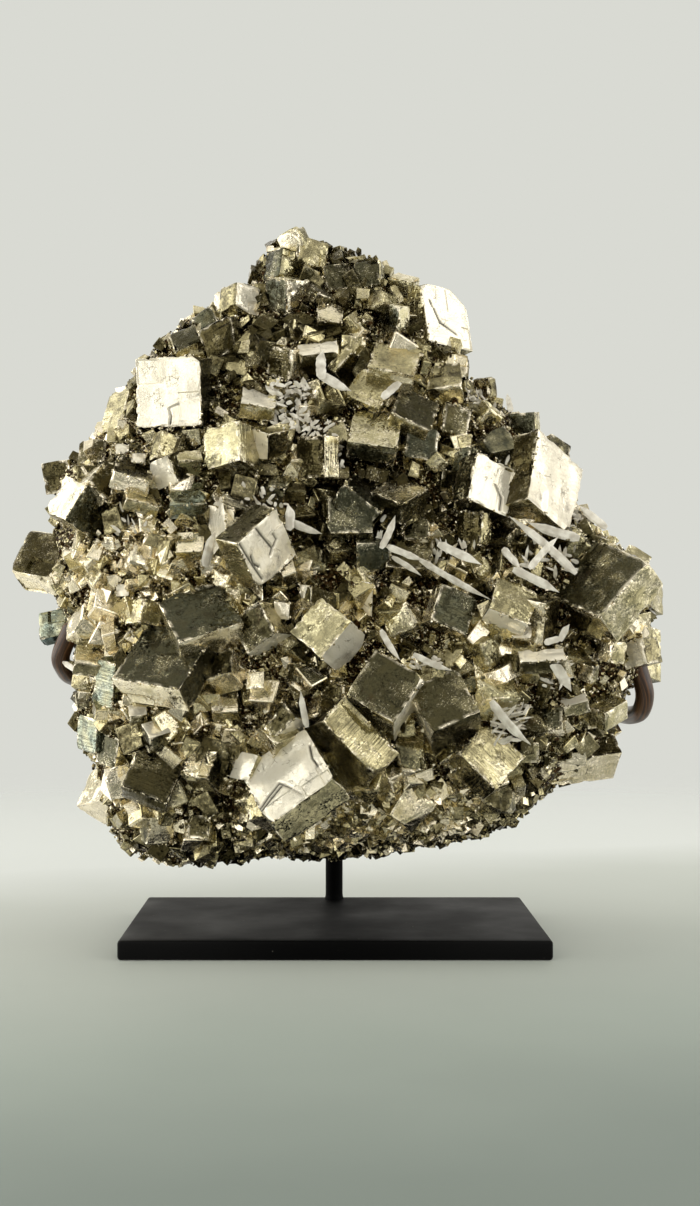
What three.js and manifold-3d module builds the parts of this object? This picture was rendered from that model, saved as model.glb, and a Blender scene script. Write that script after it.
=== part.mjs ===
// A pyrite specimen held by two hooked rods on a small black stand.
// Millimetres, +Z up, the specimen's show side faces -Y.
// The origin is the middle of the base plate's underside.
import * as THREE from 'three';
import { mergeVertices } from 'three/addons/utils/BufferGeometryUtils.js';
import Module from 'manifold-3d';

const wasm = await Module();
wasm.setup();

// Stand: quarter-inch plate and quarter-inch rod.
const PLATE_WIDTH = 140;
const PLATE_DEPTH = 88;
const PLATE_THICKNESS = 6.35;
const ROD_DIAMETER = 6.35;
const ROD_RADIUS = ROD_DIAMETER / 2;
const CLEARANCE = 0.3;
const POST_HEIGHT = 96;
const POST_FROM_BACK_EDGE = 0.8;
const POST_Y = PLATE_DEPTH / 2 - ROD_RADIUS - POST_FROM_BACK_EDGE;
const LEFT_ARM_Z = 88;
const RIGHT_ARM_Z = 76.5;

// The eye that the specimen's outline and crystals were measured from, and the scale of its picture.
const EYE = new THREE.Vector3(-2.3, -553, 102.5);
const EYE_PIXEL = { x: 328, y: 641 };
const PIXELS_PER_UNIT_SLOPE = 1588;

// The matrix: the granular mass that the crystals grow from.
const RIM_Y_LOW = -2;
const RIM_Y_HIGH = 8;
const FRONT_SWELL_LOW = 37;
const FRONT_SWELL_HIGH = 19;
const BACK_SWELL_LOW = 27;
const BACK_SWELL_HIGH = 19;
const LOW_Z = 90;
const HIGH_Z = 240;
const FRONT_LUMP_HEIGHT = 1.6;
const BACK_LUMP_HEIGHT = 2.6;
const MATRIX_MIDDLE_PIXEL = { x: 345, y: 590 };

// The matrix's outline, clockwise from the top, as seen from the eye.
const MATRIX_OUTLINE_PIXELS = [
  [286, 229], [330, 246], [378, 257], [396, 280], [424, 304], [456, 334], [464, 372], [490, 400],
  [530, 426], [558, 458], [572, 505], [600, 534], [640, 566], [650, 610], [644, 660], [618, 700],
  [604, 740], [562, 778], [535, 793], [505, 822], [420, 841], [355, 851], [270, 849], [170, 860],
  [125, 844], [104, 800], [98, 765], [82, 735], [80, 690], [78, 645], [60, 602], [52, 560],
  [58, 520], [58, 478], [88, 448], [116, 404], [142, 366], [170, 332], [210, 303], [254, 279],
  [267, 248],
];

// Each crystal by its best seen face: the pixel of one corner, and the pixels of the two corners
// next to it. "looks" is the side that the face is turned to. "proud" is how far the middle of the
// face stands out of the matrix, in edge lengths. "ratio" is the second edge over the first, and
// "deep" is the hidden edge over the first.
const CRYSTALS = {
  upper_left_cube: { corner: [199, 356], along: [136, 360], across: [200, 424], looks: 'left' },
  left_edge_cube: { corner: [49, 577], along: [8, 570], across: [70, 536], looks: 'up', deep: 0.75 },
  left_dark_corner: { corner: [41, 464], along: [68, 459], across: [46, 495], looks: 'left', deep: 0.7 },
  left_large_dark: { corner: [66, 520], along: [88, 484], across: [95, 541], looks: 'right' },
  left_top_dark: { corner: [88, 480], along: [104, 463], across: [107, 502], looks: 'right', proud: 0.9 },
  brown_left_top: { corner: [80, 441], along: [107, 438], across: [77, 464], looks: 'left' },
  dark_upper_left: { corner: [113, 470], along: [122, 454], across: [151, 482], looks: 'up', deep: 0.5 },
  grey_upper_left: { corner: [125, 481], along: [158, 489], across: [127, 498], looks: 'up', deep: 0.4 },
  white_prism: { corner: [147, 464], along: [167, 456], across: [158, 490], looks: 'left', proud: 0.8 },
  small_square: { corner: [162, 430], along: [187, 439], across: [157, 457], looks: 'up', deep: 0.6 },
  dark_small: { corner: [178, 462], along: [203, 460], across: [177, 481], looks: 'down', deep: 0.6 },
  blue_rounded: { corner: [168, 484], along: [203, 482], across: [170, 505], looks: 'up', deep: 0.5 },
  pale_striated_left: {
    corner: [110, 394], along: [131, 386], across: [98, 434], looks: 'left', ratio: 1.6,
  },
  striated_upper: { corner: [203, 430], along: [237, 420], across: [205, 470], looks: 'left', proud: 0.7 },
  rounded_white: { corner: [237, 281], along: [262, 288], across: [235, 310], looks: 'right', proud: 0.8 },
  rounded_grey: { corner: [213, 292], along: [237, 283], across: [212, 316], looks: 'left' },
  dark_slope_low: { corner: [168, 334], along: [196, 322], across: [174, 352], looks: 'left', deep: 0.7 },
  dark_slope_high: { corner: [190, 318], along: [210, 304], across: [200, 336], looks: 'left', deep: 0.7 },
  top_peak: { corner: [275, 238], along: [296, 227], across: [286, 262], looks: 'left', deep: 0.7 },
  peak_left: { corner: [265, 252], along: [283, 246], across: [261, 281], looks: 'left', deep: 0.7 },
  top_ridge: { corner: [300, 234], along: [330, 243], across: [297, 260], looks: 'up', deep: 0.6 },
  dark_top: { corner: [264, 277], along: [287, 280], across: [263, 311], looks: 'left' },
  dark_top_middle: { corner: [322, 264], along: [350, 262], across: [327, 290], looks: 'up', deep: 0.6 },
  brown_top_right: { corner: [352, 262], along: [380, 258], across: [352, 288], looks: 'left', deep: 0.7 },
  dark_top_right: { corner: [388, 276], along: [412, 282], across: [386, 302], looks: 'left', deep: 0.7 },
  pale_flat_top: { corner: [318, 303], along: [344, 306], across: [317, 320], looks: 'up', deep: 0.5 },
  upper_right_white: { corner: [421, 283], along: [464, 294], across: [430, 340], looks: 'right' },
  pale_wedge: { corner: [297, 345], along: [337, 340], across: [299, 356], looks: 'up', ratio: 0.5 },
  dark_striped_left: {
    corner: [268, 346], along: [292, 350], across: [265, 376], looks: 'left', deep: 0.6,
  },
  pale_upper_middle: { corner: [243, 386], along: [277, 391], across: [241, 403], looks: 'up', deep: 0.5 },
  bright_flash: { corner: [250, 428], along: [268, 434], across: [249, 455], looks: 'left', proud: 0.8 },
  olive_high: { corner: [376, 341], along: [422, 350], across: [368, 366], looks: 'up', deep: 0.5 },
  olive_middle: { corner: [362, 367], along: [396, 382], across: [345, 394], looks: 'up', deep: 0.5 },
  olive_hexagon: { corner: [354, 409], along: [403, 416], across: [348, 441], looks: 'up', deep: 0.45 },
  olive_low: { corner: [372, 491], along: [398, 476], across: [402, 504], looks: 'up', deep: 0.6 },
  square_middle: { corner: [457, 511], along: [482, 512], across: [455, 543], looks: 'left', deep: 0.5 },
  dark_striated_middle: {
    corner: [402, 386], along: [440, 404], across: [392, 412], looks: 'up', deep: 0.5,
  },
  dark_below_striated: {
    corner: [408, 424], along: [440, 430], across: [404, 456], looks: 'up', deep: 0.5,
  },
  dark_far_middle: { corner: [446, 402], along: [472, 410], across: [442, 430], looks: 'up', deep: 0.5 },
  dark_by_white: { corner: [446, 452], along: [470, 446], across: [446, 480], looks: 'left', deep: 0.6 },
  dark_cube_upper: { corner: [353, 351], along: [335, 372], across: [366, 366], looks: 'down', deep: 0.5 },
  dark_upper_middle: {
    corner: [380, 303], along: [399, 307], across: [378, 330], looks: 'left', deep: 0.6,
  },
  round_upper_right: { corner: [443, 352], along: [469, 354], across: [441, 376], looks: 'right' },
  edge_upper_right: { corner: [472, 379], along: [488, 378], across: [474, 400], looks: 'left', deep: 0.6 },
  right_white_cube: {
    corner: [516, 471], along: [478, 452], across: [507, 517], looks: 'up', deep: 0.55, proud: 0.8,
  },
  far_right_white_cube: { corner: [539, 430], along: [583, 470], across: [530, 498], looks: 'right' },
  dark_by_far_right: {
    corner: [508, 414], along: [534, 412], across: [510, 442], looks: 'left', deep: 0.5,
  },
  behind_far_right: { corner: [551, 433], along: [571, 446], across: [549, 456], looks: 'right' },
  right_big_cube: { corner: [600, 616], along: [645, 561], across: [550, 595], looks: 'up', deep: 0.55 },
  two_tone_right: { corner: [498, 575], along: [538, 592], across: [490, 608], looks: 'up', deep: 0.5 },
  pale_curved: { corner: [520, 598], along: [546, 604], across: [516, 646], looks: 'left', ratio: 1.7 },
  brown_cube: { corner: [597, 637], along: [614, 641], across: [593, 659], looks: 'left', proud: 0.9 },
  white_cube_right: {
    corner: [620, 644], along: [641, 638], across: [626, 670], looks: 'left', proud: 0.9,
  },
  pale_edge_right: { corner: [630, 543], along: [652, 557], across: [624, 556], looks: 'right', deep: 0.6 },
  thin_edge_right: { corner: [650, 571], along: [663, 580], across: [650, 606], looks: 'right', deep: 0.6 },
  mottled_right: { corner: [646, 624], along: [661, 630], across: [646, 676], looks: 'right', ratio: 2 },
  lower_left_big_cube: {
    corner: [178, 688], along: [113, 678], across: [214, 632], looks: 'up', deep: 0.4,
  },
  middle_left_cube: { corner: [242, 622], along: [179, 641], across: [220, 580], looks: 'up', deep: 0.45 },
  pale_tall_left: { corner: [128, 600], along: [143, 598], across: [125, 624], looks: 'left', proud: 0.8 },
  pale_left_low: { corner: [77, 644], along: [108, 649], across: [75, 661], looks: 'up', deep: 0.5 },
  left_stripe_low: { corner: [78, 714], along: [97, 720], across: [76, 748], looks: 'left', deep: 0.7 },
  left_pale_low: { corner: [100, 730], along: [119, 738], across: [95, 762], looks: 'left', deep: 0.7 },
  gold_small_left: { corner: [128, 704], along: [146, 702], across: [129, 716], looks: 'up', proud: 0.9 },
  pale_below_big: { corner: [141, 724], along: [162, 718], across: [150, 738], looks: 'up', proud: 0.8 },
  bottom_left_pyramid: { corner: [99, 800], along: [76, 806], across: [114, 764], looks: 'up', deep: 0.9 },
  black_rough: { corner: [140, 742], along: [187, 761], across: [120, 785], looks: 'up', deep: 0.6 },
  cracked_pentagon: {
    corner: [191, 749], along: [217, 752], across: [181, 775], looks: 'left', proud: 0.8,
  },
  bottom_small_cube: {
    corner: [189, 814], along: [211, 816], across: [186, 838], looks: 'left', deep: 0.7,
  },
  bottom_pale: { corner: [150, 818], along: [176, 816], across: [147, 845], looks: 'down', deep: 0.7 },
  center_cracked_cube: {
    corner: [276, 509], along: [296, 555], across: [239, 544], looks: 'right', deep: 0.55, proud: 0.85,
  },
  striated_over_center: {
    corner: [222, 492], along: [275, 508], across: [228, 535], looks: 'up', deep: 0.5, proud: 0.3,
  },
  two_tone_cube: { corner: [275, 633], along: [247, 654], across: [258, 601], looks: 'left', proud: 0.8 },
  small_white_upper: { corner: [299, 584], along: [312, 586], across: [298, 600], looks: 'left', proud: 1 },
  small_white_lower: { corner: [274, 601], along: [290, 603], across: [273, 618], looks: 'left', proud: 1 },
  pale_middle_left: { corner: [177, 532], along: [205, 531], across: [175, 552], looks: 'up', deep: 0.5 },
  bright_star: { corner: [208, 505], along: [234, 510], across: [206, 545], looks: 'left', deep: 0.6 },
  textured_pale: { corner: [352, 622], along: [369, 638], across: [322, 658], looks: 'right', proud: 0.7 },
  dark_centre_cube: { corner: [424, 677], along: [376, 649], across: [394, 722], looks: 'up', proud: 0.7 },
  second_dark_cube: { corner: [479, 711], along: [456, 667], across: [430, 733], looks: 'up', proud: 0.6 },
  striated_brown: { corner: [443, 582], along: [478, 599], across: [431, 619], looks: 'up', deep: 0.5 },
  white_strip: {
    corner: [361, 581], along: [373, 583], across: [360, 615], looks: 'left', ratio: 2.6, deep: 2,
  },
  dark_rounded: { corner: [404, 517], along: [430, 516], across: [403, 540], looks: 'left', deep: 0.6 },
  dark_striated_high: {
    corner: [296, 438], along: [324, 436], across: [297, 479], looks: 'left', deep: 0.5,
  },
  black_pit: { corner: [328, 493], along: [373, 492], across: [327, 533], looks: 'up', deep: 0.4 },
  thin_edge_cube: { corner: [345, 483], along: [358, 470], across: [380, 512], looks: 'up', deep: 0.6 },
  bottom_white: {
    corner: [303, 727], along: [332, 778], across: [240, 772], looks: 'left', deep: 0.5, proud: 0.7,
  },
  bottom_white_small: {
    corner: [238, 751], along: [257, 755], across: [229, 777], looks: 'up', proud: 0.9,
  },
  pale_slab: { corner: [331, 781], along: [360, 799], across: [281, 800], looks: 'down', deep: 0.6 },
  low_slab: { corner: [250, 821], along: [300, 801], across: [270, 835], looks: 'down', deep: 0.5 },
  bottom_center_prism: {
    corner: [323, 721], along: [345, 697], across: [377, 777], looks: 'up', ratio: 2.2, deep: 1.7, proud: 1.1,
  },
  bottom_right_crystal: {
    corner: [488, 720], along: [525, 757], across: [459, 752], looks: 'up', deep: 0.6,
  },
  lower_right_cube: {
    corner: [621, 753], along: [556, 763], across: [613, 778], looks: 'down', ratio: 0.6,
  },
  small_white_a: { corner: [114, 443], along: [130, 442], across: [113, 455], looks: 'left', proud: 0.9 },
  small_white_b: { corner: [131, 451], along: [147, 452], across: [130, 462], looks: 'up', proud: 0.9 },
  small_white_c: { corner: [61, 548], along: [74, 548], across: [61, 562], looks: 'left', proud: 0.9 },
  small_white_d: { corner: [115, 583], along: [129, 582], across: [115, 597], looks: 'left', proud: 0.9 },
  left_blue_lump: { corner: [37, 612], along: [66, 606], across: [38, 640], looks: 'up', deep: 0.6 },
  left_low_lump: { corner: [75, 692], along: [92, 691], across: [76, 710], looks: 'left', deep: 0.7 },
  blue_striped: { corner: [95, 658], along: [115, 664], across: [92, 704], looks: 'left', ratio: 1.7 },
  small_dark_square: {
    corner: [207, 655], along: [233, 648], across: [205, 679], looks: 'left', proud: 0.9,
  },
  pale_square: { corner: [247, 672], along: [264, 671], across: [246, 689], looks: 'left', proud: 0.9 },
  grey_gold_square: { corner: [211, 690], along: [238, 688], across: [211, 713], looks: 'left', deep: 0.6 },
  ringed_crystal: { corner: [286, 664], along: [302, 663], across: [286, 684], looks: 'left', deep: 0.6 },
  gold_dark: { corner: [321, 679], along: [343, 684], across: [318, 708], looks: 'left', deep: 0.6 },
  pale_brown_prism: { corner: [273, 741], along: [296, 718], across: [289, 745], looks: 'down', deep: 0.6 },
  striated_edge: { corner: [258, 726], along: [275, 745], across: [257, 748], looks: 'left', proud: 0.8 },
  pale_right: { corner: [577, 661], along: [593, 668], across: [575, 678], looks: 'left', deep: 0.6 },
  white_low_right: { corner: [558, 697], along: [583, 690], across: [563, 707], looks: 'up', deep: 0.5 },
  grey_low_right: { corner: [600, 690], along: [627, 700], across: [578, 703], looks: 'up', deep: 0.6 },
  dark_low_right: { corner: [537, 706], along: [563, 704], across: [536, 731], looks: 'left', deep: 0.6 },
  pale_shelf: {
    corner: [517, 650], along: [563, 648], across: [520, 662], looks: 'up', ratio: 0.4, deep: 0.35,
  },
  pale_step_right: { corner: [512, 624], along: [531, 624], across: [513, 638], looks: 'up', proud: 0.9 },
  low_triangle_left: { corner: [440, 763], along: [457, 751], across: [455, 772], looks: 'down' },
  low_triangle_right: { corner: [444, 776], along: [458, 767], across: [462, 787], looks: 'down' },
};

// The largest quartz blades, each from the pixel of one end to the pixel of the other.
const QUARTZ_BLADES = {
  long_left_half: { from: [386, 548], to: [422, 563], width: 2.6 },
  long_right_half: { from: [418, 561], to: [488, 601], width: 2.6 },
  slanted_right: { from: [505, 518], to: [572, 575], width: 3.2 },
  cross_right: { from: [556, 538], to: [526, 570], width: 2.6 },
  edge_right: { from: [574, 508], to: [602, 530], width: 4.5 },
  upper_bent: { from: [322, 355], to: [322, 384], width: 4 },
  lower_curved: { from: [412, 654], to: [450, 671], width: 2.4 },
  low_middle: { from: [300, 690], to: [307, 726], width: 2.4 },
  low_right_broad: { from: [548, 660], to: [568, 690], width: 4 },
  spiky_low: { from: [488, 700], to: [527, 744], width: 4.5 },
  edge_needle: { from: [504, 397], to: [508, 415], width: 2.4 },
};

// How far the quartz stands out in front of the matrix.
const QUARTZ_PROUD = 5.8;

// A blade's tip over its foot.
const QUARTZ_TIP_SHARE = 0.6;

// Small cubes that fill the matrix between the measured crystals, and the larger ones on its back.
const FRONT_CUBES = { count: 107, smallest: 7, largest: 12.5 };
const BACK_CUBES = { count: 32, smallest: 9, largest: 19 };
const SMALL_CUBE_SPACING = 0.3;
const SMALL_CUBE_REACH = 0.97;
const SMALL_CUBE_LOWEST_Z = 43;
const ROOM_AT_ARMS = 13;

// Steps and slivers smaller than this are left out of the joined specimen.
const SMALLEST_STEP = 0.2;

const mix = THREE.MathUtils.lerp;

/** A repeatable number from 0 to 1 for draw number k of item i. */
function chance(i, k) {
  const s = Math.sin(i * 127.1 + k * 311.7) * 43758.5453;
  return s - Math.floor(s);
}

/** The line of sight through a pixel, one unit long in Y. */
function sightThrough([px, py]) {
  const slope = 1 / PIXELS_PER_UNIT_SLOPE;
  return new THREE.Vector3((px - EYE_PIXEL.x) * slope, 1, (EYE_PIXEL.y - py) * slope);
}

/** The point at depth y on the line of sight through a pixel. */
function pointAtDepth(pixel, y) {
  return sightThrough(pixel).multiplyScalar(y - EYE.y).add(EYE);
}

const matrixMiddle = pointAtDepth([MATRIX_MIDDLE_PIXEL.x, MATRIX_MIDDLE_PIXEL.y], 0);
const outlineRays = MATRIX_OUTLINE_PIXELS.map((pixel) => {
  const p = pointAtDepth(pixel, 0).sub(matrixMiddle);
  return { angle: Math.atan2(p.z, p.x), radius: Math.hypot(p.x, p.z) };
}).sort((a, b) => a.angle - b.angle);

/** The outline's distance from its middle, in a direction in the XZ plane. */
function outlineRadius(angle) {
  const turn = 2 * Math.PI;
  const after = outlineRays.findIndex((ray) => ray.angle > angle);
  const b = outlineRays.at(Math.max(after, 0));
  const a = outlineRays.at(after < 0 ? -1 : after - 1);
  const span = (b.angle - a.angle + turn) % turn;
  const part = (angle - a.angle + turn) % turn;
  return mix(a.radius, b.radius, part / span);
}

/** Low bumps over the matrix: broad ones about 25 mm apart, with finer ones over them. */
function lump(x, z) {
  const broad = Math.sin(x / 8.7 + 1.3) * Math.cos(z / 7.9);
  const fine = Math.sin(x / 3.9 + z / 5.1) * Math.cos(z / 3.3 - x / 6.1);
  return broad + 0.7 * fine;
}

/** How high up the specimen a level is, from 0 to 1. */
function heightShare(z) {
  return THREE.MathUtils.clamp((z - LOW_Z) / (HIGH_Z - LOW_Z), 0, 1);
}

/** The matrix's front or back at a place in the outline, where rho is 0 in its middle and 1 at its rim. */
function matrixY(x, z, rho, isFront) {
  const up = heightShare(z);
  const rim = mix(RIM_Y_LOW, RIM_Y_HIGH, up);
  const dome = Math.sqrt(Math.max(0, 1 - rho ** 4));
  const swell = isFront
    ? -mix(FRONT_SWELL_LOW, FRONT_SWELL_HIGH, up) + FRONT_LUMP_HEIGHT * lump(x, z)
    : mix(BACK_SWELL_LOW, BACK_SWELL_HIGH, up) + BACK_LUMP_HEIGHT * lump(x, z);
  return rim + swell * dome;
}

/** The matrix's front surface under any place in the picture plane. */
function matrixFront(x, z) {
  const dx = x - matrixMiddle.x;
  const dz = z - matrixMiddle.z;
  const rho = Math.min(1, Math.hypot(dx, dz) / outlineRadius(Math.atan2(dz, dx)));
  return matrixY(x, z, rho, true);
}

/** The point where the line of sight through a pixel meets the matrix's front. */
function pointOnMatrix(pixel) {
  let point = pointAtDepth(pixel, 0);
  for (let pass = 0; pass < 4; pass += 1) {
    point = pointAtDepth(pixel, matrixFront(point.x, point.z));
  }
  return point;
}

/** A closed solid from a closed geometry, placed by a matrix. */
function toSolid(geometry, placement) {
  const plain = geometry.clone();
  plain.deleteAttribute('normal');
  plain.deleteAttribute('uv');
  if (placement) plain.applyMatrix4(placement);
  const merged = mergeVertices(plain, 1e-4);
  return new wasm.Manifold(new wasm.Mesh({
    numProp: 3,
    vertProperties: new Float32Array(merged.attributes.position.array),
    triVerts: new Uint32Array(merged.index.array),
  }));
}

/** A geometry from a closed solid. */
function toGeometry(solid) {
  const mesh = solid.getMesh();
  const geometry = new THREE.BufferGeometry();
  geometry.setAttribute('position', new THREE.BufferAttribute(new Float32Array(mesh.vertProperties), 3));
  geometry.setIndex(new THREE.BufferAttribute(new Uint32Array(mesh.triVerts), 1));
  geometry.computeVertexNormals();
  return geometry;
}

/** The largest of the separate pieces of a solid, which leaves its sealed pockets filled. */
function largestPiece(solid) {
  return solid.decompose().reduce((a, b) => (b.volume() > a.volume() ? b : a));
}

/**
 * The square whose picture has the edges v and w: its edge length, and how far each edge runs away
 * from the eye. A square of edge L has L^4 - (|v|^2 + |w|^2) L^2 + (v x w)^2 = 0.
 */
function squareBehindPicture(v, w) {
  const sum = v.lengthSq() + w.lengthSq();
  const area = v.cross(w);
  const edgeSquared = (sum + Math.sqrt(Math.max(0, sum * sum - 4 * area * area))) / 2;
  const away = Math.sqrt(Math.max(0, edgeSquared - v.lengthSq()));
  const awayToo = Math.sqrt(Math.max(0, edgeSquared - w.lengthSq()));
  return { edge: Math.sqrt(edgeSquared), away, awayToo: v.dot(w) > 0 ? -awayToo : awayToo };
}

/** Whether a face's direction, in the picture, is the side that it is said to look to. */
function looksTo(side, direction) {
  return { left: direction.x < 0, right: direction.x > 0, up: direction.z > 0, down: direction.z < 0 }[side];
}

/** The size, axes and middle of a crystal, from the face that the eye sees. */
function readCrystal({ corner, along, across, looks, ratio = 1, deep = 1, proud = 0.5 }) {
  const middlePixel = [(along[0] + across[0]) / 2, (along[1] + across[1]) / 2];
  const ground = pointOnMatrix(middlePixel);
  const scale = (ground.y - EYE.y) / PIXELS_PER_UNIT_SLOPE;
  const v = new THREE.Vector2(along[0] - corner[0], corner[1] - along[1]).multiplyScalar(scale);
  const w = new THREE.Vector2(across[0] - corner[0], corner[1] - across[1]).multiplyScalar(scale / ratio);
  const square = squareBehindPicture(v, w);
  const axesFor = (sign) => {
    const first = new THREE.Vector3(v.x, sign * square.away, v.y).normalize();
    const second = new THREE.Vector3(w.x, sign * square.awayToo, w.y).normalize();
    const out = new THREE.Vector3().crossVectors(first, second);
    const isOutward = out.y < 0;
    return isOutward
      ? { first, second, out, sizes: [square.edge, square.edge * ratio] }
      : { first: second, second: first, out: out.negate(), sizes: [square.edge * ratio, square.edge] };
  };
  const axes = looksTo(looks, axesFor(1).out) ? axesFor(1) : axesFor(-1);
  const sight = sightThrough(middlePixel).normalize();
  const turn = new THREE.Quaternion().setFromUnitVectors(new THREE.Vector3(0, 1, 0), sight);
  const [first, second, out] = [axes.first, axes.second, axes.out].map((axis) => axis.applyQuaternion(turn));
  const depth = square.edge * deep;
  const face = pointAtDepth(middlePixel, ground.y - proud * square.edge);
  const middle = face.clone().addScaledVector(out, -depth / 2);
  return { edge: square.edge, sizes: [...axes.sizes, depth], first, second, out, face, middle };
}

/** The solid block of a crystal that was read from the picture. */
function crystalBlock(crystal) {
  const placement = new THREE.Matrix4()
    .makeBasis(crystal.first, crystal.second, crystal.out)
    .setPosition(crystal.middle);
  return toSolid(new THREE.BoxGeometry(...crystal.sizes), placement);
}

/** The matrix: a sphere whose points are moved out to the outline, and swollen to the front and back. */
function matrixSolid() {
  const geometry = new THREE.SphereGeometry(1, 30, 10);
  const position = geometry.attributes.position;
  for (let i = 0; i < position.count; i += 1) {
    const [sx, sy, sz] = [position.getX(i), position.getY(i), position.getZ(i)];
    const rho = Math.hypot(sx, sz);
    const reach = rho * outlineRadius(Math.atan2(sz, -sx));
    const x = matrixMiddle.x + (rho > 0 ? (-sx / rho) * reach : 0);
    const z = matrixMiddle.z + (rho > 0 ? (sz / rho) * reach : 0);
    position.setXYZ(i, x, matrixY(x, z, rho, sy > 0), z);
  }
  return toSolid(geometry);
}

/** A quartz blade: a six-sided needle that narrows to its tip. */
function quartzBlade({ from, to, width }) {
  const start = pointOnMatrix(from);
  const end = pointOnMatrix(to);
  start.y -= width + QUARTZ_PROUD;
  end.y -= width + QUARTZ_PROUD;
  const length = start.distanceTo(end);
  const foot = width / 2;
  const needle = new THREE.CylinderGeometry(foot * QUARTZ_TIP_SHARE, foot, length, 6);
  const direction = end.clone().sub(start).normalize();
  const turn = new THREE.Quaternion().setFromUnitVectors(new THREE.Vector3(0, 1, 0), direction);
  const placement = new THREE.Matrix4()
    .compose(start.add(end).multiplyScalar(0.5), turn, new THREE.Vector3(1, 1, 1));
  return toSolid(needle, placement);
}

/** Whether a small cube would stand in front of a measured crystal, or crowd it. */
function isCrowded(place, size, crystals) {
  return crystals.some((crystal) => {
    const aside = Math.hypot(crystal.face.x - place.x, crystal.face.z - place.z);
    return aside < SMALL_CUBE_SPACING * crystal.edge + size / 2;
  });
}

/** Whether a small cube would stand in the way of an arm. */
function isAtArm(place) {
  return [...leftArmPath, ...rightArmPath].some((point) => point.distanceTo(place) < ROOM_AT_ARMS);
}

/** Small cubes in a sunflower pattern over one side of the matrix, turned every way. */
function smallCubes({ count, smallest, largest }, isFront, crystals) {
  const blocks = [];
  const goldenAngle = Math.PI * (3 - Math.sqrt(5));
  for (let i = 0; i < count; i += 1) {
    const rho = SMALL_CUBE_REACH * Math.sqrt((i + 0.5) / count);
    const angle = (i * goldenAngle + Math.PI) % (2 * Math.PI) - Math.PI;
    const reach = rho * outlineRadius(angle);
    const x = matrixMiddle.x + Math.cos(angle) * reach;
    const z = matrixMiddle.z + Math.sin(angle) * reach;
    const size = mix(smallest, largest, chance(i, 1));
    const place = new THREE.Vector3(x, matrixY(x, z, rho, isFront), z);
    if (z < SMALL_CUBE_LOWEST_Z || isAtArm(place)) continue;
    if (isFront && isCrowded(place, size, crystals)) continue;
    const turn = new THREE.Quaternion().setFromEuler(
      new THREE.Euler(chance(i, 2) * Math.PI, chance(i, 3) * Math.PI, chance(i, 4) * Math.PI),
    );
    const placement = new THREE.Matrix4().compose(place, turn, new THREE.Vector3(1, 1, 1));
    blocks.push(toSolid(new THREE.BoxGeometry(size, size, size * mix(0.8, 1.3, chance(i, 5))), placement));
  }
  return blocks;
}

/** A round rod along a smooth path, with a round free end. */
function rodSolid(points, radius) {
  const curve = new THREE.CatmullRomCurve3(points, false, 'centripetal');
  const section = new THREE.Shape().absarc(0, 0, radius, 0, 2 * Math.PI, false);
  const geometry = new THREE.ExtrudeGeometry(section, {
    steps: 17, curveSegments: 5, bevelEnabled: false, extrudePath: curve,
  });
  const tip = new THREE.SphereGeometry(radius, 8, 5).translate(...points.at(-1).toArray());
  return toSolid(geometry).add(toSolid(tip));
}

/** The centre line of a hooked arm, from the post round one side of the specimen to its tip. */
function armPath(points) {
  return points.map(([x, y, z]) => new THREE.Vector3(x, y, z));
}

const leftArmPath = armPath([
  [-1, POST_Y, LEFT_ARM_Z], [-50, POST_Y - 0.5, LEFT_ARM_Z], [-73, 33, LEFT_ARM_Z + 0.3],
  [-88, 17, LEFT_ARM_Z + 1], [-92, 4, LEFT_ARM_Z + 2.2], [-93.2, -4, LEFT_ARM_Z + 4.6],
  [-94, -8.5, LEFT_ARM_Z + 9], [-90.5, -9, LEFT_ARM_Z + 18],
]);
const rightArmPath = armPath([
  [1, POST_Y, RIGHT_ARM_Z], [62, POST_Y - 0.5, RIGHT_ARM_Z], [86, 34, RIGHT_ARM_Z],
  [100.5, 19, RIGHT_ARM_Z], [104.5, 5, RIGHT_ARM_Z], [106, -4.5, RIGHT_ARM_Z + 2.4],
  [106.3, -8.5, RIGHT_ARM_Z + 8], [103.8, -9, RIGHT_ARM_Z + 17.5],
]);

/** The post, or the hole that it needs, standing on the plate's top. */
function postSolid(radius) {
  const height = POST_HEIGHT - PLATE_THICKNESS - CLEARANCE;
  const geometry = new THREE.CylinderGeometry(radius, radius, height, 24).rotateX(Math.PI / 2);
  geometry.translate(0, POST_Y, PLATE_THICKNESS + CLEARANCE + height / 2);
  return toSolid(geometry);
}

const black = { color: 0x15130f, roughness: 0.5, metalness: 0.3 };
const bronzed = { color: 0x2f2119, roughness: 0.35, metalness: 0.6 };
const pyrite = { color: 0xa99f78, roughness: 0.3, metalness: 1 };

/** A named mesh with its own material. */
function piece(name, geometry, look) {
  const mesh = new THREE.Mesh(geometry, new THREE.MeshStandardMaterial(look));
  mesh.name = name;
  return mesh;
}

/** The base plate, resting on its underside. */
function basePlate() {
  const mesh = piece('base_plate', new THREE.BoxGeometry(PLATE_WIDTH, PLATE_DEPTH, PLATE_THICKNESS), black);
  mesh.position.z = PLATE_THICKNESS / 2;
  return mesh;
}

/** A hooked arm, cut clear of the post that it is welded to. */
function arm(name, path) {
  const solid = rodSolid(path, ROD_RADIUS).subtract(postSolid(ROD_RADIUS + CLEARANCE));
  return piece(name, toGeometry(largestPiece(solid)), bronzed);
}

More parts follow.
